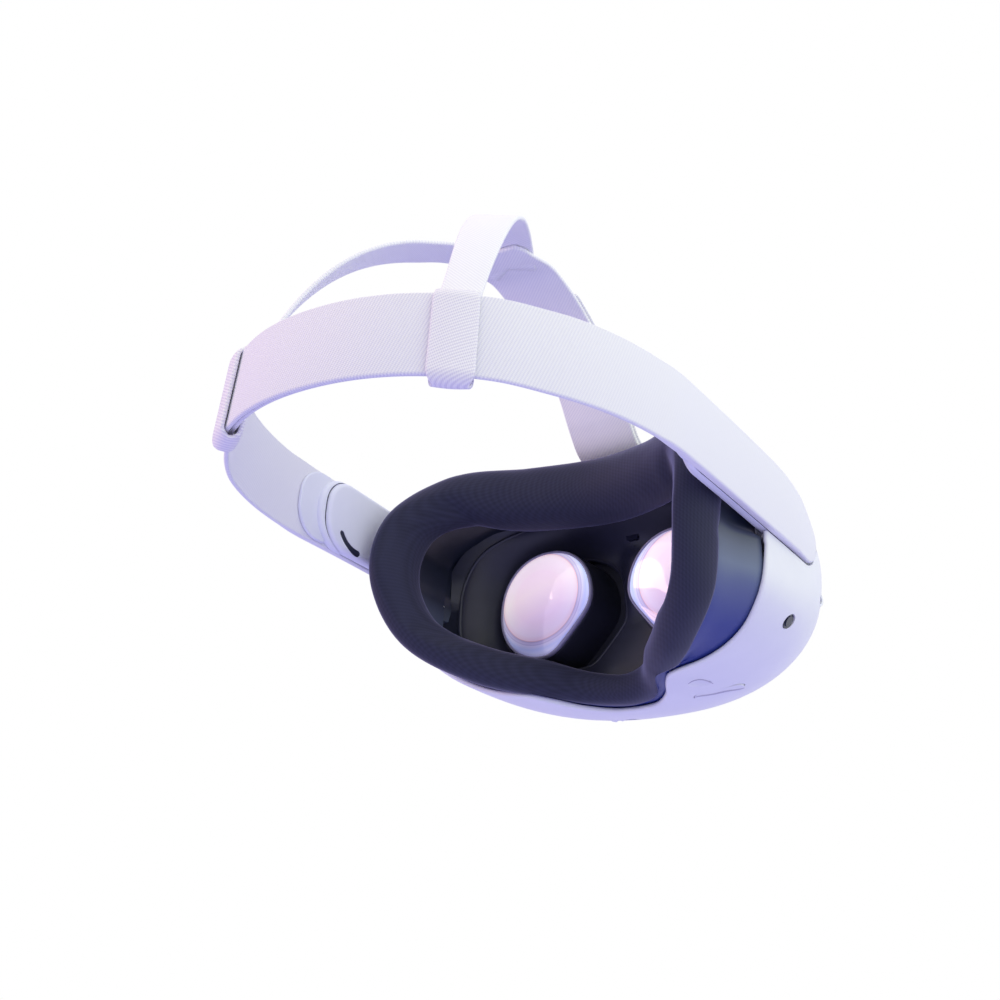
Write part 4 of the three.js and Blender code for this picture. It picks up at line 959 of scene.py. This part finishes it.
interface_wall()
face_cushion()
eye_dish()
for side_name, side_sign in SIDES:
    dish_lip(side_name, side_sign)
dish_flange()
sensor_window()
for side_name, side_sign in SIDES:
    lens_set(side_name, side_sign)

# ---- Strap ----

STRAP_FRONT_X, STRAP_FRONT_Y, STRAP_SIDE_X = 90.2, -29, 94.5
STRAP_TURN_Y, STRAP_REAR_Y, STRAP_POWER = 77, 182.9, 2.1
STRAP_START = -4.6
STRAP_FROM_Y, STRAP_HEIGHT, STRAP_RISE, STRAP_SAG, STRAP_LEAN = -26.25, 16.4, 0.1184, 10.46, 5.48
HALF_FRONT, HALF_REAR = 13.8, 17.3


def strap_plan():
    """Line (x, y) of the bands seen from above, from the left front end round to the right one."""
    points = [(lerp(STRAP_FRONT_X, STRAP_SIDE_X, i / 12), lerp(STRAP_FRONT_Y, STRAP_TURN_Y, i / 12))
              for i in range(13)]
    for i in range(1, 401):
        a = i / 400 * pi / 2
        points.append((STRAP_SIDE_X * max(0.0, cos(a)) ** (2 / STRAP_POWER),
                       STRAP_TURN_Y + (STRAP_REAR_Y - STRAP_TURN_Y) * sin(a) ** (2 / STRAP_POWER)))
    right = [(-x, y) for x, y in points[-2::-1]]
    return np.array(points + right)


PLAN = strap_plan()
PLAN_RUN = run_along(PLAN)
FULL = PLAN_RUN[-1]


def plan_at(s):
    x, y = np.interp(s, PLAN_RUN, PLAN[:, 0]), np.interp(s, PLAN_RUN, PLAN[:, 1])
    ahead = min(0, s) / PLAN_RUN[1] * (PLAN[1] - PLAN[0])
    return x + ahead[0], y + ahead[1]


def strap_point(s, n, t):
    """s along the strap from its left front end, n outward, t upward from its middle height."""
    x, y = plan_at(s)
    xa, ya = plan_at(s - 2)
    xb, yb = plan_at(min(FULL, s + 2))
    out = Vector((yb - ya, -(xb - xa), 0)).normalized()
    lean = radians(STRAP_LEAN) * min(1, max(0, (y - 21) / 126))
    back = y - STRAP_FROM_Y
    middle = STRAP_HEIGHT + STRAP_RISE * back - STRAP_SAG * (back / 210) ** 2
    sideways = n * cos(lean) - t * sin(lean)
    height = n * sin(lean) + t * cos(lean)
    return (x + out.x * sideways, y + out.y * sideways, middle + height)


def half_height(s):
    """Half the band's height, which grows from the visor to the back."""
    return lerp(HALF_FRONT, HALF_REAR, min(1, max(0, (plan_at(s)[1] - STRAP_FROM_Y) / 157.5)))


def corner_in(distance, corner, inset):
    """How far a rounded corner pulls the edge in; corner is a radius or its (length, height)."""
    length, height = (c - inset for c in (corner if isinstance(corner, tuple) else (corner, corner)))
    share = 1 - max(distance, 0) / max(length, 0.01)
    return height * (1 - sqrt(1 - share**2)) if share > 0 and height > 0 else 0.0


def strap_plate(name, s0, s1, corners, inner, outer, margin=0.0, rounds=(0.8, 0.8), count=70):
    """A plate lying on the strap between s0 and s1. corners are the radii at the start's low and high
    and the end's low and high corner; inner, outer and margin are numbers or functions of s."""
    inner, outer, margin = (v if callable(v) else lambda s, v=v: v for v in (inner, outer, margin))

    def chain(inset):
        a, b = s0 + inset, s1 - inset
        low, high = [], []
        for k in range(count + 1):
            u = k / count
            s = lerp(a, b, 0.6 * u + 0.4 * (0.5 - 0.5 * cos(pi * u)))
            half = half_height(s) - margin(s) - inset
            pull = [corner_in(d, corner, inset) for d, corner in zip((s - a, s - a, b - s, b - s), corners)]
            low.append((s, -half + max(pull[0], pull[2])))
            high.append((s, half - max(pull[1], pull[3])))
        return low + high[::-1]

    rows, marks = [], []
    quarter = [radians(18 * i) for i in range(6)]
    for face, radius, sign, order in ((inner, rounds[0], 1, quarter), (outer, rounds[1], -1, quarter[::-1])):
        for q in order:
            outline = chain(radius * (1 - sin(q)))
            rows.append([strap_point(s, face(s) + sign * radius * (1 - cos(q)), t) for s, t in outline])
            marks.append(outline)
    n = 2 * (count + 1)
    faces = grid_faces(len(rows), n)
    for base in (0, (len(rows) - 1) * n):
        faces += [(base + k, base + k + 1, base + n - 2 - k, base + n - 1 - k) for k in range(count)]
    return mesh_from(name, flat(rows), faces, flat(marks))


def strap_prism(name, outline, low, high):
    """A prism of (s, t) points between two distances outward."""
    return skin(name, [[strap_point(s, n, t) for s, t in outline] for n in (low, high)])


def strap_band(name, side):
    """Fabric band that thins to the back, where the left band runs inside the right one."""
    layer = -1 if side > 0 else 1

    def crossing(s):
        return smooth((s - 172) / 22) * 1.25 * layer

    def thin(s):
        return smooth((s - 112) / 12)

    def inner(s):
        return lerp(-1.7, -1.05, thin(s)) + crossing(s)

    def outer(s):
        return lerp(1.7, 1.05, thin(s)) + crossing(s) - 0.9 * smooth((14 - s) / 14)

    def margin(s):
        return 1.2 * smooth((s - 166) / 14) if side > 0 else 0

    band = strap_plate(f"band_cloth_{name}", STRAP_START, FULL - SLEEVE_FROM - 5, (8, (40, 20), 3, 3), inner,
                       outer, margin, rounds=(0.8, 0.95), count=260)
    finish(on_side(band, side), "head_strap", BAND_CLOTH, [f"strap_band_{name}"])


ARM_CORNERS = (7, (37, 18), 13, 13)
ARM_TO, RING_TO, CLIP_TO = 99.6, 103.4, 114.4
PIVOT = (-14, 15)  # y and z of the pin that the arms turn on


def slot_outline(grow):
    """The sound slot: an arc with round ends near the housing's lower corner."""
    centre_s, centre_t, radius, half = 80.2, -0.8, 12.5, 1.35 + grow
    first, last = -37, -94

    def side(r, start, end):
        return arc(centre_s, centre_t, r, r, start, end, 24)

    def cap(at, start, end):
        return arc(*side(radius, at, at)[0], half, half, start, end, 8)

    return (side(radius + half, first, last) + cap(last, last - 18, last - 162)
            + side(radius - half, last, first) + cap(first, first + 162, first + 18))


def strap_arm(name, side):
    """Speaker housing on the band's inner face, a soft collar round its rear end and a thin tongue."""

    def attach(obj, material, nodes=()):
        finish(on_side(obj, side), "head_strap", material, nodes)

    arm = strap_plate(f"arm_shell_{name}", STRAP_START + 0.6, ARM_TO, ARM_CORNERS, -6.8, -2.05, margin=0.3,
                      rounds=(2.4, 0.35), count=120)
    cut(arm, rod("tool", (70, *PIVOT), (100, *PIVOT), 6.4), strap_prism("tool", slot_outline(0), -9, -5.1))
    attach(arm, ARM_INNER, [f"strap_arm_{name}", f"speaker_cover_{name}"])
    backing = strap_plate(f"slot_mesh_{name}", 55, ARM_TO - 0.35, (2, 2, 12.6, 12.6), -6.5, -2.4, margin=0.6,
                          rounds=(2.4, 0.3), count=90)
    boolean(backing, "INTERSECT", strap_prism("tool", slot_outline(0.35), -9, -4.6))
    attach(backing, SLOT_DARK)
    seam = strap_plate(f"arm_seam_{name}", 2, ARM_TO + 0.7, (9, (37, 18), 13.7, 13.7), -4.9, -1.6,
                       margin=0.55, rounds=(0.3, 0.05), count=90)
    attach(seam, SLOT_DARK)
    collar = strap_plate(f"arm_collar_{name}", 84, RING_TO, (2, 2, 14.6, 14.6), -5.2, -1.9,
                         rounds=(2.0, 0.2), count=90)
    cut(collar, strap_plate("tool", 60, ARM_TO + 0.75, (2, 2, 13.75, 13.75), -9, -1,
                            rounds=(0.05, 0.05), count=110))
    attach(collar, ARM_INNER)
    clip = strap_plate(f"clip_tongue_{name}", 96, CLIP_TO, (2, 2, 13.5, 13.5), -3.3, -1.9, margin=0.9,
                       rounds=(0.75, 0.2), count=60)
    attach(clip, ARM_INNER, [f"strap_clip_{name}"])


def pill(half_n, half_t):
    """Outline (n, t) of a pill section: flat sides and round ends."""
    rise = half_t - half_n
    return arc(0, rise, half_n, half_n, 0, 180, 35) + arc(0, -rise, half_n, half_n, 180, 360, 35)


def slider_sleeve(name, side):
    """Fabric sleeve round both bands, drawn in at its folds, with a stitched lip on top."""
    thick, inner_n, body = 1.9, 2.9, f"sleeve_{name}"
    length, centre = SLEEVE_TO - SLEEVE_FROM - 2, (SLEEVE_FROM + SLEEVE_TO) / 2
    profile = [(SLEEVE_FROM + 1 + length * u, thick + 0.5 * sin(pi * u)) for u in (i / 12 for i in range(13))]
    profile += arc(SLEEVE_TO - 1, thick / 2, 1, thick / 2, 67.5, -67.5, 6)
    profile += [(SLEEVE_TO - 1 - length * i / 6, 0) for i in range(7)]
    profile += arc(SLEEVE_FROM + 1, thick / 2, 1, thick / 2, 247.5, 112.5, 6)
    rows, marks = [], []
    for s, out in profile:
        tall = half_height(s) + 1.1 + out * 0.95
        section = pill(inner_n + out, tall)
        row = []
        for n, t in section:
            near = min(1, max(0, (abs(t) - tall + 4.5) / 4.5))
            fold = 1 - 0.24 * (1 - sqrt(1 - 0.98 * near**2))
            row.append(strap_point(centre + (s - centre) * fold, n, t * 0.975 - 0.9))
        rows.append(row)
        marks.append([(s, t) for _, t in section])
    sleeve = skin(f"sleeve_cloth_{name}", rows, ring=True, uvs=marks)
    finish(on_side(sleeve, side), body, SLEEVE_TWILL, [f"slider_sleeve_{name}"])
    rows, marks = [], []
    top = half_height(centre) + 0.2
    for i in range(15):
        a = pi * i / 14
        size = 0.3 + 1.9 * sin(a) ** 0.7
        t = top + 0.6 - 1.5 * cos(a)
        spots = [(centre + (7.9 + size * 0.3) * signed_power(cos(q), 0.35), size * signed_power(sin(q), 0.8))
                 for q in turns(48)]
        rows.append([strap_point(s, n, t) for s, n in spots])
        marks.append([(s, t) for s, _ in spots])
    lip = skin(f"sleeve_lip_{name}", rows, uvs=marks)
    finish(on_side(lip, side), body, SLEEVE_TWILL)


# ---- Top strap ----

TOP_STRAP = [(-29.5, 56.6), (-20, 60.6), (-9.5, 64.6), (-1.6, 73.5), (8.1, 86.9), (18.5, 97), (29.7, 104.7),
             (40.3, 111.1), (51.6, 116.1), (60.7, 118.6), (74.4, 117.6)]
TOP_HALF = 15.75
BRANCH = [Vector(p) for p in ((8, 75.6, 117.6), (48.8, 147.6, 129.2), (51.6, 162, 25.6), (50.5, 164, 50))]


def ribbon(name, frames):
    """frames hold the middle, across, normal, half width, thickness and running length."""
    rows, marks = [], []
    for p, across, normal, half, thick, run in frames:
        section = rounded(0, 0, 2 * half, thick, min(0.8, thick / 2 - 0.05), 4)
        rows.append([tuple(p + across * u + normal * v) for u, v in section])
        marks.append([(run, u) for u, _ in section])
    return skin(name, rows, uvs=marks)


def top_path(count, lift=0.0, first=0.0, last=1.0):
    """Frames along the top strap's middle line, between two shares of its length."""
    points = [Vector((0, y, z)) for y, z in TOP_STRAP]
    points = [points[0] * 2 - points[1], *points, points[-1] * 2 - points[-2]]
    frames, run, before = [], 0.0, None
    for i in range(count + 1):
        at = lerp(first, last, i / count) * (len(TOP_STRAP) - 1)
        k = min(int(at), len(TOP_STRAP) - 2)
        p, slope = spline(*points[k:k + 4], at - k)
        normal = Vector((0, -slope.z, slope.y))
        run += 0 if before is None else (p - before).length
        before = p
        frames.append((p + normal * lift, Vector((1, 0, 0)), normal, TOP_HALF, 1.9, run))
    return frames


def top_strap():
    """Wide webbing looped round the anchor's bar, its folded end and two rows of stitches."""
    frames = top_path(110)
    p, across, normal, half, thick, run = frames[-1]
    for i in range(1, 19):
        u = 8.8 * i / 18
        on = p + Vector((0, u, 0.06 * u - 0.1 * smooth(i / 8)))
        frames.append((on, across, normal, half - 3.0 * (i / 18) ** 3, thick, run + u))
    bar, loop = Vector((0, -35.2, 54.2)), []
    for i in range(25):
        a = radians(lerp(-70, 130, i / 24))
        radial = Vector((0, -cos(a), sin(a)))
        loop.append((bar + radial * 2.9, across, radial, TOP_HALF, 1.6, -12 + 0.42 * i))
    strap = ribbon("top_webbing", loop + frames)
    finish(strap, None, TWILL_INSIDE, ["top_strap"])
    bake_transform(strap)
    folded = []
    for i, (p, across, normal, half, thick, run) in enumerate(top_path(90, lift=1.95, first=0.02, last=0.72)):
        folded.append((p, across, normal, half - (0.4 if i == 90 else 0), thick * 0.8, run))
    fold = ribbon("top_webbing_fold", folded)
    finish(fold, None, TWILL)
    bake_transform(fold)
    stitches = []
    for row_t in (0.955, 0.975):
        p, across, normal = top_path(1, first=row_t)[0][:3]
        stitches += [p + normal + across * lerp(-14, 14, i / 12) for i in range(13)]
    for i, at in enumerate(stitches):
        rows = [[(at.x + u, at.y + 0.28 * w * cos(q), at.z + 0.28 * w * sin(q)) for q in turns(8)]
                for u, w in ((-0.85, 0.2), (-0.6, 0.8), (0, 1), (0.6, 0.8), (0.85, 0.2))]
        finish(skin(f"seam_stitch_{i}", rows), "head_strap", STITCH)


def top_branch(name, side):
    """Narrow webbing from the top strap's rear end down to a sleeve."""
    frames, run, before = [], 0.0, None
    head_middle = Vector((0, 70, 20))
    a, b, c, d = BRANCH
    for i in range(91):
        t = lerp(-0.035, 0.80, i / 90)
        p = a * (1 - t) ** 3 + b * 3 * (1 - t) ** 2 * t + c * 3 * (1 - t) * t**2 + d * t**3
        slope = ((b - a) * 3 * (1 - t) ** 2 + (c - b) * 6 * (1 - t) * t + (d - c) * 3 * t**2).normalized()
        across = (p - head_middle).normalized().cross(slope).normalized()
        normal = slope.cross(across).normalized()
        if normal.dot(p - head_middle) < 0:
            normal.negate()
        run += 0 if before is None else (p - before).length
        before = p
        lift = 1.75 * (1 - smooth((t - 0.045) / 0.09))
        half = lerp(lerp(7.6, 9.4, smooth(t * 5)), 8.0, smooth((t - 0.35) / 0.35))
        frames.append((p + normal * lift, across, normal, half, 1.9, run))
    branch = on_side(ribbon(f"branch_webbing_{name}", frames), side)
    finish(branch, None, TWILL_INSIDE, [f"top_strap_branch_{name}"])
    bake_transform(branch)


BAND_CLOTH = twill("strap_band_twill", (0.65, 0.64, 0.78), (0.81, 0.80, 0.88), depth=0.00009, fade=(118, 205))
SLEEVE_TWILL = twill("sleeve_twill", (0.66, 0.63, 0.78), (0.84, 0.82, 0.90), pitch=1.2, degrees=28)
SLOT_DARK = plastic("slot_mesh", (0.008, 0.01, 0.03), (0.02, 0.022, 0.06), 0.6, grain=1500, depth=0.0002)
STITCH = plastic("seam_thread", (0.66, 0.64, 0.8), (0.78, 0.76, 0.88), 0.8, grain=4000)

top_strap()
for side_name, side_sign in SIDES:
    strap_band(side_name, side_sign)
    strap_arm(side_name, side_sign)
    slider_sleeve(side_name, side_sign)
    top_branch(side_name, side_sign)

# ---- Camera, lights and floor ----

CAMERA_AT = Vector((-0.5070, 0.7062, -0.3166))
CAMERA_RIGHT = Vector((-0.79892, -0.59793, 0.06483))
CAMERA_UP = Vector((-0.17698, 0.33675, 0.92481))
CAMERA_LENS = 78.43


def make_camera():
    data = bpy.data.cameras.new("camera")
    data.sensor_width, data.lens = 36, CAMERA_LENS
    data.clip_start, data.clip_end = 0.01, 50
    camera = place("camera", data)
    back = CAMERA_RIGHT.cross(CAMERA_UP)
    turn = Matrix((CAMERA_RIGHT, CAMERA_UP, back)).transposed().to_4x4()
    camera.matrix_world = Matrix.Translation(CAMERA_AT) @ turn
    SCENE.camera = camera


def area_light(name, at, target, size, watts, colour):
    data = bpy.data.lights.new(name, "AREA")
    data.shape, data.size, data.energy, data.color = "DISK", size, watts, colour
    light = place(name, data)
    light.location = at
    light.rotation_euler = (Vector(target) - Vector(at)).to_track_quat("-Z", "Y").to_euler()
    light.visible_camera = False


# Light from the six directions, blended smoothly between them.
SKY = {"x": ((0.60, 0.46, 0.80), (1.30, 1.42, 1.08)), "y": ((1.06, 1.02, 0.84), (0.97, 0.97, 1.06)),
       "z": ((0.72, 0.73, 1.10), (0.5, 0.5, 1.0))}


def make_world():
    """A white backdrop for the camera and soft coloured light from all round for the object."""
    world = bpy.data.worlds.new("studio")
    world.use_nodes = True
    SCENE.world = world
    tree = world.node_tree
    tree.nodes.clear()

    def add(kind, inputs=None, out=0, **settings):
        return add_node(tree, kind, inputs, **settings).outputs[out]

    def join(operation, a, b):
        return add("Math", {0: a, 1: b}, operation=operation)

    split = add_node(tree, "SeparateXYZ", {0: add("TexCoord", out="Generated")}).outputs
    total = (0, 0, 0)
    for i, axis in enumerate("xyz"):
        for sign, colour in zip((1, -1), SKY[axis]):
            share = join("MAXIMUM", join("MULTIPLY", split[i], sign), 0.0)
            part = add("VectorMath", {0: colour, "Scale": join("MULTIPLY", share, share)}, operation="SCALE")
            total = add("VectorMath", {0: total, 1: part}, operation="ADD")
    light = add("Background", {"Color": total})
    backdrop = add("Background", {"Color": (1, 1, 1, 1), "Strength": 1.0})
    mixed = add("MixShader", {0: add("LightPath", out="Is Camera Ray"), 1: light, 2: backdrop})
    add_node(tree, "OutputWorld", {0: mixed})


def make_floor():
    """Large pale floor, gently uneven in tone, well below the headset."""
    radius, z, rings, sectors = 2700, -620, 12, 96
    points, faces = [(0, 0, z)], [(0, 1 + i, 1 + (i + 1) % sectors) for i in range(sectors)]
    for ring in range(1, rings + 1):
        r = radius * ring / rings
        points += [(r * cos(q), r * sin(q), z) for q in turns(sectors)]
    faces += [tuple(1 + k for k in face) for face in grid_faces(rings, sectors)]
    floor = mesh_from("floor", points, faces)
    s = Shader("floor_paint")
    s.colour(s.noise(2.0), [(0.3, (0.58, 0.57, 0.87)), (0.7, (0.62, 0.61, 0.89))])
    s.set(Roughness=0.8)
    floor.data.materials.append(s.material)


make_camera()
make_world()
make_floor()
area_light("key", (-0.55, 0.15, 0.95), (0, 0.05, 0.03), 0.9, 2.8, (1.0, 1.0, 0.62))
area_light("pink_left", (0.7, 0.6, 0.25), (0, 0, 0.03), 0.5, 2.6, (1, 0.66, 0.48))

view = SCENE.view_settings
view.view_transform = "Standard"
view.look = "None"
